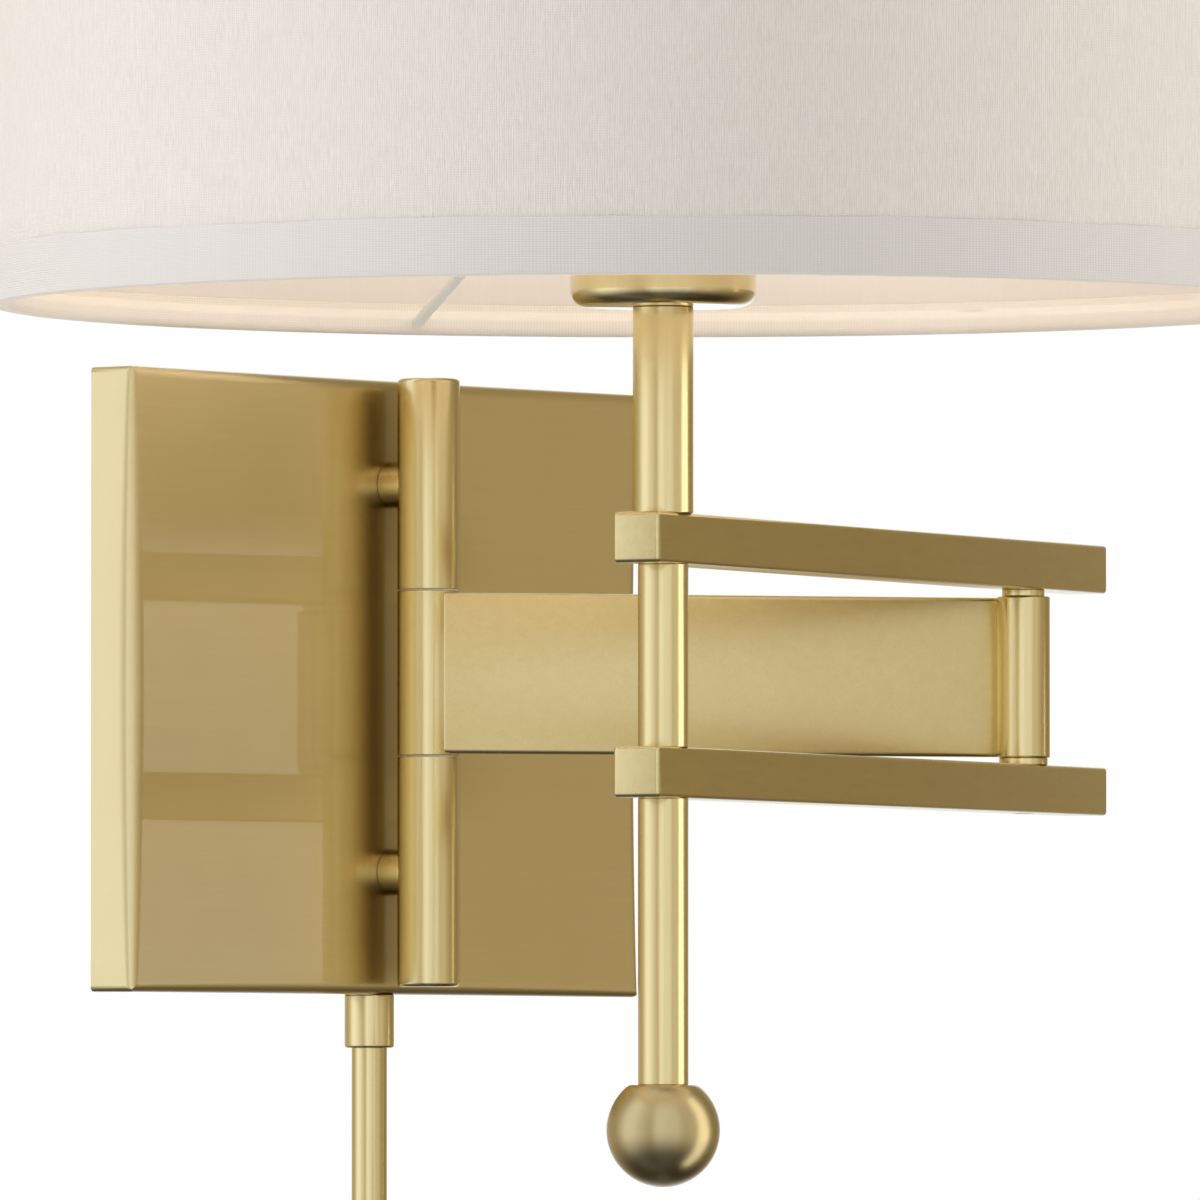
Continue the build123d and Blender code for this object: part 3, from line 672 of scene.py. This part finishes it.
def arm_strip():
    """Flat bar whose front is flush with the knuckle and whose far end dies into the elbow barrel."""
    knuckle_radius = radius_of("arm_knuckle")
    post_radius = radius_of("elbow_post")
    thickness = 4.8 * MM
    low, high = span("arm_bar", 2)
    back = knuckle_radius - thickness
    offset = back + post_radius
    reach = hypot(elbow.x - hinge.x, elbow.y - hinge.y)
    length = sqrt(reach**2 - offset**2)
    angle = atan2(elbow.y - hinge.y, elbow.x - hinge.x) + atan2(offset, length)
    start, end, edge = 1.2 * MM, length - 1.5 * MM, 1.1 * MM
    piece = rounded_box("arm_strip", (start, -knuckle_radius, low), (end, -back, high), edge, steps=4)
    turn_into(piece, Vector((hinge.x, hinge.y, 0)), angle)
    dress(piece, brass_strip, "arm", "satin_brass", "arm_bar")


arm_strip()


def link_bars():
    """Two square bars, from past the elbow to past the stem."""
    past_stem, past_post, edge = 16.4 * MM, 41.2 * MM, 1.05 * MM
    for end in ("upper", "lower"):
        low, high = span(f"link_bar_{end}", 2)
        half = (high - low) / 2
        corner_low = (-past_post, -half, low)
        corner_high = (link_reach + past_stem, half, high)
        piece = rounded_box(f"link_bar_{end}_square", corner_low, corner_high, edge, steps=5)
        turn_into(piece, Vector((elbow.x, elbow.y, 0)), link_angle)
        dress(piece, brass_bars, "lamp", "satin_brass", f"link_bar_{end}")


link_bars()

# ---- Lamp holder -----------------------------------------------------------------------------


PIPE_HOLE = 4.9 * MM


def cup():
    """The drawn cup that the socket stands in."""
    low, high = span("socket_cup", 2)
    radius = radius_of("socket_cup")
    wall, bottom_edge = 1 * MM, 4 * MM
    corners = [
        (PIPE_HOLE, low, 0),
        (radius, low, bottom_edge),
        (radius, high, 0.4 * MM),
        (radius - wall, high, 0),
        (radius - wall, low + wall, bottom_edge - wall),
        (PIPE_HOLE, low + wall, 0),
    ]
    piece = lathe("lamp_cup", stem, rounded(corners, 8), closed=True, segments=128)
    dress(piece, brass_cup, "lamp", "satin_brass", "socket_cup")


cup()

# ---- Threads, socket and bulb ----------------------------------------------------------------


def helix(pitch, depth, low, high):
    """A screw thread as a wave of the radius, fading out at both ends."""

    def wave(angle, z):
        fade = min(1.0, max(0.0, (z - low) / pitch), max(0.0, (high - z) / pitch))
        return depth * fade * (0.5 + 0.5 * sin(2 * pi * z / pitch - angle)) - depth * fade

    return wave


def finely(profile, step):
    """Divides the long upright runs of a profile, so that a thread has points to move."""
    points = []
    for (r0, z0), (r1, z1) in zip(profile, profile[1:]):
        parts = max(1, int(abs(z1 - z0) / step)) if abs(r1 - r0) < 1e-6 else 1
        points += [(r0 + (r1 - r0) * i / parts, z0 + (z1 - z0) * i / parts) for i in range(parts)]
    return points + [profile[-1]]


black_moulded = plain_plastic("black_moulded", (0.022, 0.021, 0.02), 0.32)
threaded_brass = plain_metal("threaded_brass", (0.72, 0.56, 0.3), 0.3)
bulb_metal = plain_metal("bulb_metal", (0.72, 0.71, 0.69), 0.28)
zinc = plain_metal("zinc", (0.62, 0.63, 0.64), 0.4)
steel = plain_metal("steel", (0.56, 0.55, 0.54), 0.28)
dark_steel = plain_metal("dark_steel", (0.34, 0.33, 0.32), 0.35)
acetal = plain_plastic("acetal", (0.72, 0.71, 0.67), 0.45)
rubber = plain_plastic("rubber", (0.03, 0.03, 0.03), 0.6)
white_paint = painted_wire("white_paint")
shade_linen = linen("shade_linen")
shade_liner = liner("shade_liner")
shade_tape = tape("shade_tape")
# the tape's inner fold is a warmer, brighter copy of the tape: painted glow of the light inside the drum
shade_fold = tape("shade_fold", (0.77, 0.69, 0.60, 1), (0.84, 0.775, 0.69, 1))
bulb_frost = frosted_glass("bulb_frost")


def socket():
    """Moulded socket: a waisted body, a threaded neck for the shade's nut and a boss for the key."""
    low, high = span("socket_body", 2)
    shoulder = span("fitter_hub", 2)[0]
    floor = span("socket_contact", 2)[0]
    bore = 14.3 * MM
    body, neck, groove = 20.5 * MM, 18.5 * MM, 19.9 * MM
    ring_low = low + 9 * MM
    corners = [
        (PIPE_HOLE, low, 0),
        (body, low, 1.4 * MM),
        (body, ring_low, 0.2 * MM),
        (groove, ring_low + 0.6 * MM, 0),
        (groove, ring_low + 2 * MM, 0),
        (body, ring_low + 2.6 * MM, 0.2 * MM),
        (body, shoulder - 0.1 * MM, 0.5 * MM),
        (neck, shoulder - 0.1 * MM, 0),
        (neck, high, 0.4 * MM),
        (bore, high, 0.4 * MM),
        (bore, floor, 0),
        (PIPE_HOLE, floor, 0),
    ]
    thread = helix(2 * MM, 0.5 * MM, shoulder, high)

    def wave(angle, z):
        return thread(angle, z) if z > shoulder else 0

    profile = finely(rounded(corners, 4), 0.4 * MM)
    piece = lathe("socket_moulding", stem, profile, closed=True, segments=72, wave=wave)
    dress(piece, black_moulded, "lamp", "socket_black", "socket_body")
    way = Vector(JOINTS["switch_turn"]["axis"]).normalized()
    key_level = JOINTS["switch_turn"]["pos_m"][2]
    hole, boss_radius, boss_length, boss_start = 2.1 * MM, 4.5 * MM, 9 * MM, 15.5 * MM
    corners = [(hole, 0, 0), (boss_radius, 0, 0)]
    corners += [(boss_radius, boss_length, 0.8 * MM), (hole, boss_length, 0)]
    boss = lathe("switch_boss", Vector((0, 0, 0)), rounded(corners), closed=True, segments=48)
    turn = way.to_track_quat("Z", "Y").to_matrix().to_4x4()
    at = Vector((stem.x, stem.y, key_level)) + way * boss_start
    boss.data.transform(Matrix.Translation(at) @ turn)
    dress(boss, black_moulded, "lamp", "socket_black")
    key_switch(at + way * boss_length, turn)


def key_switch(at, turn):
    """The key: a short shaft, a collar, and a flat oval grip with ribbed sides."""
    shaft_radius, shaft_start = 2 * MM, -8 * MM
    collar, collar_low, collar_high = 3.6 * MM, 0.6 * MM, 1.6 * MM
    corners = [(0, shaft_start, 0), (shaft_radius, shaft_start, 0.3 * MM), (shaft_radius, collar_low, 0)]
    corners += [(collar, collar_low, 0.2 * MM), (collar, collar_high, 0.3 * MM), (0, collar_high, 0)]
    shaft = lathe("key_shaft", Vector((0, 0, 0)), rounded(corners), segments=40)
    shaft.data.transform(Matrix.Translation(at) @ turn)
    dress(shaft, brass_turned, "knob", "satin_brass", "switch_knob")
    steps, half_long, half_thin = 72, 7.5 * MM, 2.5 * MM
    # height above the boss in mm, and share of the full width
    levels = [(1.2, 0.86), (1.7, 1.0), (4, 1.0), (7, 0.97), (11, 1.0), (14, 1.0), (14.8, 0.93), (15, 0.8)]
    vertices, faces = [], []
    for height, share in levels:
        for step in range(steps):
            angle = 2 * pi * step / steps
            rib = 1 - 0.035 * (step % 2) * (1 if 2 < height < 14.5 else 0)
            x = half_long * share * rib * abs(cos(angle)) ** 0.8 * (1 if cos(angle) > 0 else -1)
            y = half_thin * share * rib * abs(sin(angle)) ** 0.7 * (1 if sin(angle) > 0 else -1)
            vertices.append(Vector((x, y, height * MM)))
    for level in range(len(levels) - 1):
        for step in range(steps):
            following = (step + 1) % steps
            a, b = level * steps, (level + 1) * steps
            faces.append([a + step, a + following, b + following, b + step])
    faces.append(list(range(steps)))
    faces.append([(len(levels) - 1) * steps + step for step in range(steps)])
    grip = mesh_from("key_grip", vertices, faces)
    grip.data.transform(Matrix.Translation(at) @ turn @ Matrix.Rotation(pi / 2, 4, "Z"))
    dress(grip, brass_turned, "knob", "satin_brass")


socket()


def screw_shell_liner():
    """The rolled brass thread inside the socket."""
    low, high = span("screw_shell", 2)
    outer, inner = 14.2 * MM, 13.75 * MM
    profile = finely([(outer, low), (outer, high), (inner, high), (inner, low)], 0.5 * MM)
    wave = helix(3.6 * MM, 0.35 * MM, low, high)
    piece = lathe("screw_shell_rolled", stem, profile, closed=True, segments=72, wave=wave)
    dress(piece, threaded_brass, "lamp", "screw_shell_brass", "screw_shell")


screw_shell_liner()


def bulb():
    """A frosted bulb on its threaded metal base."""
    low, high = span("bulb_glass", 2)
    radius = radius_of("bulb_glass")
    centre_z = high - radius
    neck = 13 * MM
    profile = [(0, high)]
    steps, shoulder_turn = 40, radians(32)
    for step in range(1, steps + 1):
        angle = pi / 2 - (pi / 2 + shoulder_turn) * step / steps
        profile.append((radius * cos(angle), centre_z + radius * sin(angle)))
    start = profile[-1]
    blend = 14
    for step in range(1, blend + 1):
        part = step / blend
        ease = part * part * (3 - 2 * part)
        line_r = start[0] + (neck - start[0]) * (0.45 * part + 0.55 * ease)
        profile.append((line_r, start[1] + (low + 4 * MM - start[1]) * part))
    profile += [(neck, low), (0, low)]
    glass = lathe("bulb_envelope", stem, profile, segments=96, sharp=50)
    dress(glass, bulb_frost, "lamp", "bulb_glass", "bulb_glass")
    base_low, base_high = span("bulb_base", 2)
    base = 13.3 * MM
    thread_low, thread_high = base_low + 6 * MM, base_high - 6 * MM
    corners = [(0, base_low, 0), (4.4 * MM, base_low, 0.8 * MM), (4.6 * MM, base_low + 1.6 * MM, 0)]
    corners += [(9 * MM, base_low + 3.2 * MM, 0.6 * MM), (base - 0.4 * MM, thread_low, 0.6 * MM)]
    corners += [(base - 0.4 * MM, thread_high, 0), (base, thread_high + 1 * MM, 0.4 * MM)]
    corners += [(base, base_high, 0), (0, base_high, 0)]
    profile = finely(rounded(corners, 4), 0.45 * MM)
    thread = helix(3.6 * MM, 0.7 * MM, thread_low, thread_high)

    def wave(angle, z):
        return thread(angle, z) if thread_low < z < thread_high else 0

    screw = lathe("bulb_screw", stem, profile, segments=72, wave=wave)
    dress(screw, bulb_metal, "lamp", "bulb_base_metal", "bulb_base")


bulb()

# ---- Shade -----------------------------------------------------------------------------------

SEAM = radians(5)
SEAM_LAP = radians(3)
SEAM_RISE = 0.4 * MM
SEAM_STEP = radians(0.6)
DRUM_SEGMENTS = 720


def seam_rise(angle):
    """The drum's sheet laps over itself at the seam: a sharp edge on one side, a slow fall on the other."""
    after = (angle - SEAM) % (2 * pi)
    if after < SEAM_LAP:
        return SEAM_RISE * min(1.0, after / SEAM_STEP)
    fall = (after - SEAM_LAP) / SEAM_LAP
    return SEAM_RISE * max(0.0, 1 - fall) ** 2 if fall < 1 else 0.0


def round_stem(vertex):
    """A point's angle round the stem, and its distance from it."""
    out = Vector((vertex.co.x - stem.x, vertex.co.y - stem.y))
    return atan2(out.y, out.x), out.length


def lap_outside(piece, share=1.0):
    """Raises the outer skin of a ring at the seam, and dents the inner one a little."""
    for vertex in piece.data.vertices:
        angle, radius = round_stem(vertex)
        if radius > SHADE_RADIUS - 0.6 * MM:
            radius += seam_rise(angle) * share
        elif radius > SHADE_RADIUS - 1.7 * MM:
            radius -= seam_rise(angle) * share * 0.5
        vertex.co.x, vertex.co.y = stem.x + radius * cos(angle), stem.y + radius * sin(angle)


def drum():
    """Linen bonded to a thin stiff liner, and lapped at the seam."""
    outer, inner = SHADE_RADIUS, SHADE_RADIUS - 1 * MM
    edge = 0.2 * MM
    rows = 46
    tall = SHADE_TOP - SHADE_BOTTOM - 2 * edge
    outside = [(outer, SHADE_BOTTOM + edge + tall * row / rows) for row in range(rows + 1)]
    inside = [(inner, SHADE_TOP - edge - tall * row / rows) for row in range(rows + 1)]
    profile = [(outer - edge, SHADE_BOTTOM), *outside, (outer - edge, SHADE_TOP)]
    profile += [(inner + edge, SHADE_TOP), *inside, (inner + edge, SHADE_BOTTOM)]
    piece = lathe("shade_drum", stem, profile, closed=True, segments=DRUM_SEGMENTS, sharp=50)
    lap_outside(piece)
    dress(piece, shade_linen, "lamp", "shade_linen", "shade_shell")
    piece.data.materials.append(shade_liner)
    between = SHADE_RADIUS - 0.5 * MM
    for face in piece.data.polygons:
        out = Vector((face.center.x - stem.x, face.center.y - stem.y))
        if out.length < between or face.normal.xy.dot(out) < -0.5 * out.length:
            face.material_index = 1
    return piece


def binding(end, inward):
    """Binding tape folded over an edge of the drum, with the slight waver of hand gluing."""
    low, high = span(f"shade_trim_{end}", 2)
    width = high - low
    tape_edge = low if inward > 0 else high
    outer, inner = SHADE_RADIUS + 0.05 * MM, SHADE_RADIUS - 1.05 * MM
    thick = 0.4 * MM
    fold = 8 * MM

    def at(height):
        return tape_edge + inward * height

    roll = SHADE_RADIUS - 4.9 * MM
    corners = [
        (outer, at(width), 0),
        (outer + thick, at(width), 0.15 * MM),
        (outer + thick, at(0), 0.7 * MM),
        (roll, at(0), 1.9 * MM),
        (roll, at(4.4 * MM), 1.2 * MM),
        (inner - thick, at(6.2 * MM), 0.6 * MM),
        (inner - thick, at(fold), 0.15 * MM),
        (inner, at(fold), 0),
        (inner, at(thick), 0),
        (outer, at(thick), 0),
    ]

    def wave(angle, z):
        return 0.05 * MM * sin(23 * angle + 40 * z) + 0.04 * MM * sin(51 * angle + 1.3)

    profile = rounded(corners, 4)
    piece = lathe(f"shade_binding_{end}", stem, profile, True, DRUM_SEGMENTS, wave, sharp=50)
    lap_outside(piece)
    for vertex in piece.data.vertices:
        from_edge = abs(vertex.co.z - tape_edge) / width
        if from_edge > 0.9:
            angle, _ = round_stem(vertex)
            vertex.co.z += inward * 0.18 * MM * (sin(9 * angle + 2) + 0.6 * sin(31 * angle))
    dress(piece, shade_tape, "lamp", "shade_tape", f"shade_trim_{end}")
    # the inner fold gets the painted-glow copy of the tape
    piece.data.materials.append(shade_fold)
    for face in piece.data.polygons:
        if hypot(face.center.x - stem.x, face.center.y - stem.y) < SHADE_RADIUS - 1.2 * MM:
            face.material_index = 1
    return piece


def wire_ring(end):
    low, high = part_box(f"shade_ring_{end}")
    wire = (high.z - low.z) / 2
    ring = (high.x - low.x) / 2 - wire
    around = 16
    profile = [
        (ring + wire * cos(2 * pi * step / around), (low.z + high.z) / 2 + wire * sin(2 * pi * step / around))
        for step in range(around)
    ]
    piece = lathe(f"shade_wire_{end}", stem, profile, closed=True, segments=192)
    dress(piece, white_paint, "lamp", "white_wire", f"shade_ring_{end}")
    return ring


cloth = drum()
bindings = [binding("bottom", 1), binding("top", -1)]
ring_radius = wire_ring("bottom")
wire_ring("top")


def tube_along(name, points, radius, sides=14):
    """A round wire through points, with its ends closed."""
    points = [Vector(point) for point in points]
    vertices, faces = [], []
    across = None
    for index, point in enumerate(points):
        before, after = points[max(index - 1, 0)], points[min(index + 1, len(points) - 1)]
        way = (after - before).normalized()
        if across is None:
            across = way.orthogonal().normalized()
        across = (across - way * across.dot(way)).normalized()
        other = way.cross(across)
        for side in range(sides):
            angle = 2 * pi * side / sides
            vertices.append(point + (across * cos(angle) + other * sin(angle)) * radius)
    for level in range(len(points) - 1):
        for side in range(sides):
            following = (side + 1) % sides
            a, b = level * sides, (level + 1) * sides
            faces.append([a + side, a + following, b + following, b + side])
    faces.append(list(range(sides)))
    faces.append([(len(points) - 1) * sides + side for side in range(sides)])
    return mesh_from(name, vertices, faces)


def bend(first, corner, last, steps=8):
    """A quadratic curve from first to last, drawn towards corner."""
    first, corner, last = Vector(first), Vector(corner), Vector(last)
    return [
        first * (1 - t) ** 2 + corner * 2 * t * (1 - t) + last * t**2
        for t in (step / steps for step in range(steps + 1))
    ]


def spider():
    """The shade fitter: a pierced hub, its clamping nut, and three wires down to the bottom ring."""
    low, high = span("fitter_hub", 2)
    radius = radius_of("fitter_hub")
    bore = 18.6 * MM
    corners = [(bore, low, 0), (radius, low, 0.7 * MM), (radius, high, 0.7 * MM), (bore, high, 0)]
    hub = lathe("fitter_ring", stem, rounded(corners), closed=True, segments=96)
    dress(hub, white_paint, "lamp", "white_wire", "fitter_hub")
    nut_low, nut_high = span("fitter_nut", 2)
    outer = radius_of("fitter_nut")
    inner = 18.55 * MM
    nut_corners = [(inner, nut_low, 0), (outer, nut_low, 0.4 * MM), (outer, nut_high - 1.6 * MM, 0.4 * MM)]
    nut_corners += [(outer - 1.4 * MM, nut_high, 0.4 * MM), (inner, nut_high, 0.2 * MM)]

    def grips(angle, z):
        ribbed = nut_low + 0.8 * MM < z < nut_high - 1.2 * MM
        return -0.35 * MM * (0.5 + 0.5 * cos(36 * angle)) if ribbed else 0

    profile = finely(rounded(nut_corners, 4), 0.8 * MM)
    nut = lathe("fitter_nut_ribbed", stem, profile, closed=True, segments=360)
    for vertex in nut.data.vertices:
        out = Vector((vertex.co.x - stem.x, vertex.co.y - stem.y))
        if out.length > outer - 2 * MM:
            angle = atan2(out.y, out.x)
            out = out.normalized() * (out.length + grips(angle, vertex.co.z))
            vertex.co.x, vertex.co.y = stem.x + out.x, stem.y + out.y
    dress(nut, black_moulded, "lamp", "socket_black", "fitter_nut")
    ring_z = middle("shade_ring_bottom").z
    wire = 1.5 * MM
    for number in (1, 2, 3):
        centre = middle(f"fitter_spoke_{number}")
        way = Vector((centre.x - stem.x, centre.y - stem.y, 0)).normalized()
        hub_z = (low + high) / 2

        def place(out, height):
            return (stem.x + way.x * out, stem.y + way.y * out, height)

        start, end = radius - 1.5 * MM, ring_radius - wire
        slope = (ring_z + 0.5 * MM - hub_z) / (end - radius)
        elbow_out = radius + 4 * MM
        foot = end - 4 * MM
        points = bend(place(start, hub_z), place(radius, hub_z), place(elbow_out, hub_z + slope * 4 * MM), 5)
        points += bend(
            place(foot, hub_z + slope * (foot - radius)),
            place(end - 1 * MM, hub_z + slope * (end - 1 * MM - radius)),
            place(end, ring_z),
            5,
        )
        spoke = tube_along(f"fitter_wire_{number}", points, wire)
        dress(spoke, white_paint, "lamp", "white_wire", f"fitter_spoke_{number}")


spider()

# ---- Cord outlet and the CAD nodes that stay -------------------------------------------------


def grommet():
    low, high = span("cord_grommet", 2)
    centre = middle("cord_grommet")
    flange = radius_of("cord_grommet")
    bore, plug = 2.8 * MM, 3.8 * MM
    corners = [(bore, low, 0.35 * MM), (flange, low, 0.5 * MM), (flange, low + 1.2 * MM, 0.2 * MM)]
    corners += [(plug, low + 1.2 * MM, 0), (plug, high, 0.4 * MM), (bore, high, 0)]
    piece = lathe("cord_grommet_soft", centre, rounded(corners), closed=True, segments=64)
    dress(piece, rubber, "wall_plate", "grommet_rubber", "cord_grommet")


grommet()

KEPT = {
    "bracket_zinc": zinc,
    "pin_steel": steel,
    "screw_steel": dark_steel,
    "bushing_plastic": acetal,
    "screw_shell_brass": threaded_brass,
    "socket_black": black_moulded,
    "white_wire": white_paint,
    "satin_brass": brass_turned,
    "bulb_base_metal": bulb_metal,
    "grommet_rubber": rubber,
    "shade_linen": shade_linen,
    "shade_tape": shade_tape,
    "bulb_glass": bulb_frost,
}
for row in frame["record"]["subparts"]:
    kept = frame["nodes"][row["node"]].data
    kept.materials.clear()
    kept.materials.append(KEPT[row["material_slot"]])
    kept.shade_smooth()
    kept.set_sharp_from_angle(angle=radians(SHARP))

# ---- Floor, light and camera -----------------------------------------------------------------


FLOOR_DROP, FLOOR_RADIUS = 0.02, 4.0


def floor():
    """A pale round floor, well below the lamp."""
    low = cad_low[2] - FLOOR_DROP
    rings, around = 12, 96
    vertices = [(0, 0, low)]
    for ring in range(1, rings + 1):
        radius = FLOOR_RADIUS * ring / rings
        turns = [2 * pi * i / around for i in range(around)]
        vertices += [(radius * cos(turn), radius * sin(turn), low) for turn in turns]
    faces = [[0, 1 + i, 1 + (i + 1) % around] for i in range(around)]
    for ring in range(rings - 1):
        a, b = 1 + ring * around, 1 + (ring + 1) * around
        faces += [[a + i, b + i, b + (i + 1) % around, a + (i + 1) % around] for i in range(around)]
    piece = mesh_from("floor", vertices, faces)
    nodes = Nodes("floor_pale")
    cloud = nodes.grain(scale=(3, 3, 3))
    nodes.set(Base_Color=nodes.mix(cloud, (0.86, 0.86, 0.86, 1), (0.9, 0.9, 0.9, 1)), Roughness=0.7)
    piece.data.materials.append(nodes.material)
    piece.visible_glossy = False


floor()

# Brightness of the studio by compass direction, in degrees from +X towards +Y: white walls with
# two dark gaps that give the rounded metal its bands.
STUDIO = (
    (-180, 0.74), (-173, 0.58), (-166, 0.66), (-159, 1.08), (-148, 1.08), (-138, 0.9),
    (-114, 0.92), (-107, 0.84), (-101, 0.62), (-94, 0.68), (-86, 0.72), (-74, 0.6),
    (-62, 0.46), (-48, 0.4), (-34, 0.36), (-20, 0.31), (-6, 0.32), (14, 0.5),
    (27, 1.15), (44, 1.15), (58, 0.6), (98, 0.5), (116, 0.7), (130, 1.15),
    (150, 1.15), (162, 0.94), (180, 0.74),
)
PEAK = 1.2
WARM, COOL = (1.0, 0.80, 0.46), (1.0, 1.03, 1.10)
# the sine of the elevation where the room starts to darken and where it is darkest, and how dark
DIM_FROM, DIM_TO, DIM_SHARE = -0.17, -0.72, 0.12
# a low box, in degrees round the compass and up, that lights the plate's front
LOW_BOX_COMPASS = (-42.0, -37.05)
LOW_BOX_RISE = (-14.0, 1.95)
LOW_BOX_BRIGHT = 1.1
LOW_BOX_COLOUR = (1.0, 0.96, 0.86, 1)


def studio_colour(bright):
    """The room is warm where it is dark and cool where it is bright."""
    share = min(1.0, max(0.0, (bright - 0.35) / 0.6))
    tint = [warm + (cool - warm) * share for warm, cool in zip(WARM, COOL)]
    return [bright / PEAK * value / COOL[2] for value in tint]


def studio():
    """The room as metal reflects it; the camera itself sees plain white."""
    world = bpy.data.worlds.new("studio")
    bpy.context.scene.world = world
    world.use_nodes = True
    world.node_tree.nodes.clear()
    nodes = Tree(world.node_tree)
    way = nodes.add("TexCoord").outputs["Generated"]
    parts = nodes.add("SeparateXYZ", {"Vector": way}).outputs
    compass = nodes.maths("ARCTAN2", parts["Y"], parts["X"])
    place = nodes.add("MapRange", {"Value": compass, "From Min": -pi, "From Max": pi}).outputs["Result"]
    round_room = nodes.ramp(place, [((turn + 180) / 360, studio_colour(bright)) for turn, bright in STUDIO])
    dimming = {"Value": parts["Z"], "From Min": DIM_TO, "From Max": DIM_FROM, "To Min": DIM_SHARE}
    up = nodes.add("MapRange", dimming).outputs["Result"]
    level = nodes.maths("MULTIPLY", up, PEAK * COOL[2])
    room = nodes.add("Background", {"Color": round_room, "Strength": level})
    rise = nodes.maths("ARCSINE", parts["Z"])
    inside = 1.0
    for value, (least, most) in ((compass, LOW_BOX_COMPASS), (rise, LOW_BOX_RISE)):
        above = nodes.maths("GREATER_THAN", value, radians(least))
        below = nodes.maths("LESS_THAN", value, radians(most))
        between = nodes.maths("MULTIPLY", above, below)
        inside = nodes.maths("MULTIPLY", between, inside)
    strength = nodes.maths("MULTIPLY", inside, LOW_BOX_BRIGHT)
    low_box = nodes.add("Background", {"Color": LOW_BOX_COLOUR, "Strength": strength})
    room = nodes.add("AddShader", {0: room.outputs[0], 1: low_box.outputs[0]})
    white = nodes.add("Background", {"Color": (1, 1, 1, 1), "Strength": 1.0})
    seen = nodes.add("LightPath").outputs["Is Camera Ray"]
    shown = nodes.add("MixShader", {"Fac": seen, 1: room.outputs[0], 2: white.outputs[0]})
    nodes.feed(nodes.add("OutputWorld").inputs["Surface"], shown)


studio()


def put_in_scene(data):
    """An object for a light or a camera."""
    thing = bpy.data.objects.new(data.name, data)
    bpy.context.scene.collection.objects.link(thing)
    return thing


def softbox(name, place, size, power, colour=(1, 1, 1)):
    """A round softbox aimed at the middle of the shade, and unseen in the metal."""
    light = bpy.data.lights.new(name, "AREA")
    light.shape = "DISK"
    light.size = size
    light.energy = power
    light.color = colour
    box = put_in_scene(light)
    box.location = place
    target = Vector((stem.x, stem.y, (SHADE_BOTTOM + SHADE_TOP) / 2))
    box.rotation_euler = (target - Vector(place)).to_track_quat("-Z", "Y").to_euler()
    box.visible_glossy = False


softbox("softbox_left", place=(-2.4, 2.2, 0.9), size=1.4, power=44)
softbox("softbox_right", place=(2.4, -2.6, 0.7), size=1.4, power=56)
softbox("softbox_above", (stem.x, stem.y - 0.4, 2.6), size=1.6, power=18, colour=(1, 0.99, 0.97))

STRIP_SIZE = (0.13, 0.9)
STRIP_POWER = 0.5
STRIP_OFFSET = (0.145, -0.205)
STRIP_LEVEL = -0.1


def strip_light(receivers):
    """A tall narrow softbox beside the stem, which draws the bright line down its right side."""
    data = bpy.data.lights.new("strip_light", "AREA")
    data.shape = "RECTANGLE"
    data.size, data.size_y = STRIP_SIZE
    data.energy = STRIP_POWER
    light = put_in_scene(data)
    light.location = (stem.x + STRIP_OFFSET[0], stem.y + STRIP_OFFSET[1], STRIP_LEVEL)
    away = Vector((light.location.x - stem.x, light.location.y - stem.y, 0))
    light.rotation_euler = away.to_track_quat("Z", "Y").to_euler()
    light.visible_diffuse = False
    light.visible_camera = False
    lit = bpy.data.collections.new("lit_by_strip_light")
    for name in receivers:
        lit.objects.link(bpy.data.objects[name])
    light.light_linking.receiver_collection = lit


strip_light(["stem_tube_top", "stem_tube_middle", "stem_tube_foot", "ball_end"])

GLOW_POWER = 0.12
GLOW_COLOUR = (1, 0.92, 0.84)
GLOW_SIZE = 0.02
GLOW_OUT, GLOW_UP = 0.06, 0.085


def lamp_glow():
    """A dim warm light inside the drum, from three soft points round the bulb that ride with the lamp."""
    for number in range(3):
        angle = 2 * pi * number / 3
        data = bpy.data.lights.new(f"lamp_glow_{number + 1}", "POINT")
        data.energy = GLOW_POWER
        data.shadow_soft_size = GLOW_SIZE
        data.color = GLOW_COLOUR
        glow = put_in_scene(data)
        place = (stem.x + GLOW_OUT * cos(angle), stem.y + GLOW_OUT * sin(angle), SHADE_BOTTOM + GLOW_UP)
        glow.location = place
        glow.visible_glossy = False
        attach(glow, "lamp")


lamp_glow()

bpy.context.scene.view_settings.view_transform = "Standard"
bpy.context.scene.view_settings.look = "None"

CAMERA_PLACE = Vector((-3.6455, -2.748, -0.117))
CAMERA_TURN = 53.81
CAMERA_TILT = 1.756
LENS = 525.6
SENSOR_WIDTH = 36
CLIP_END = 60

camera_data = bpy.data.cameras.new("camera")
camera_data.lens = LENS
camera_data.sensor_width = SENSOR_WIDTH
camera_data.clip_end = CLIP_END
camera = put_in_scene(camera_data)
camera.location = CAMERA_PLACE
camera.rotation_euler = (radians(90 + CAMERA_TILT), 0, radians(-CAMERA_TURN))
bpy.context.scene.camera = camera

bpy.context.view_layer.update()
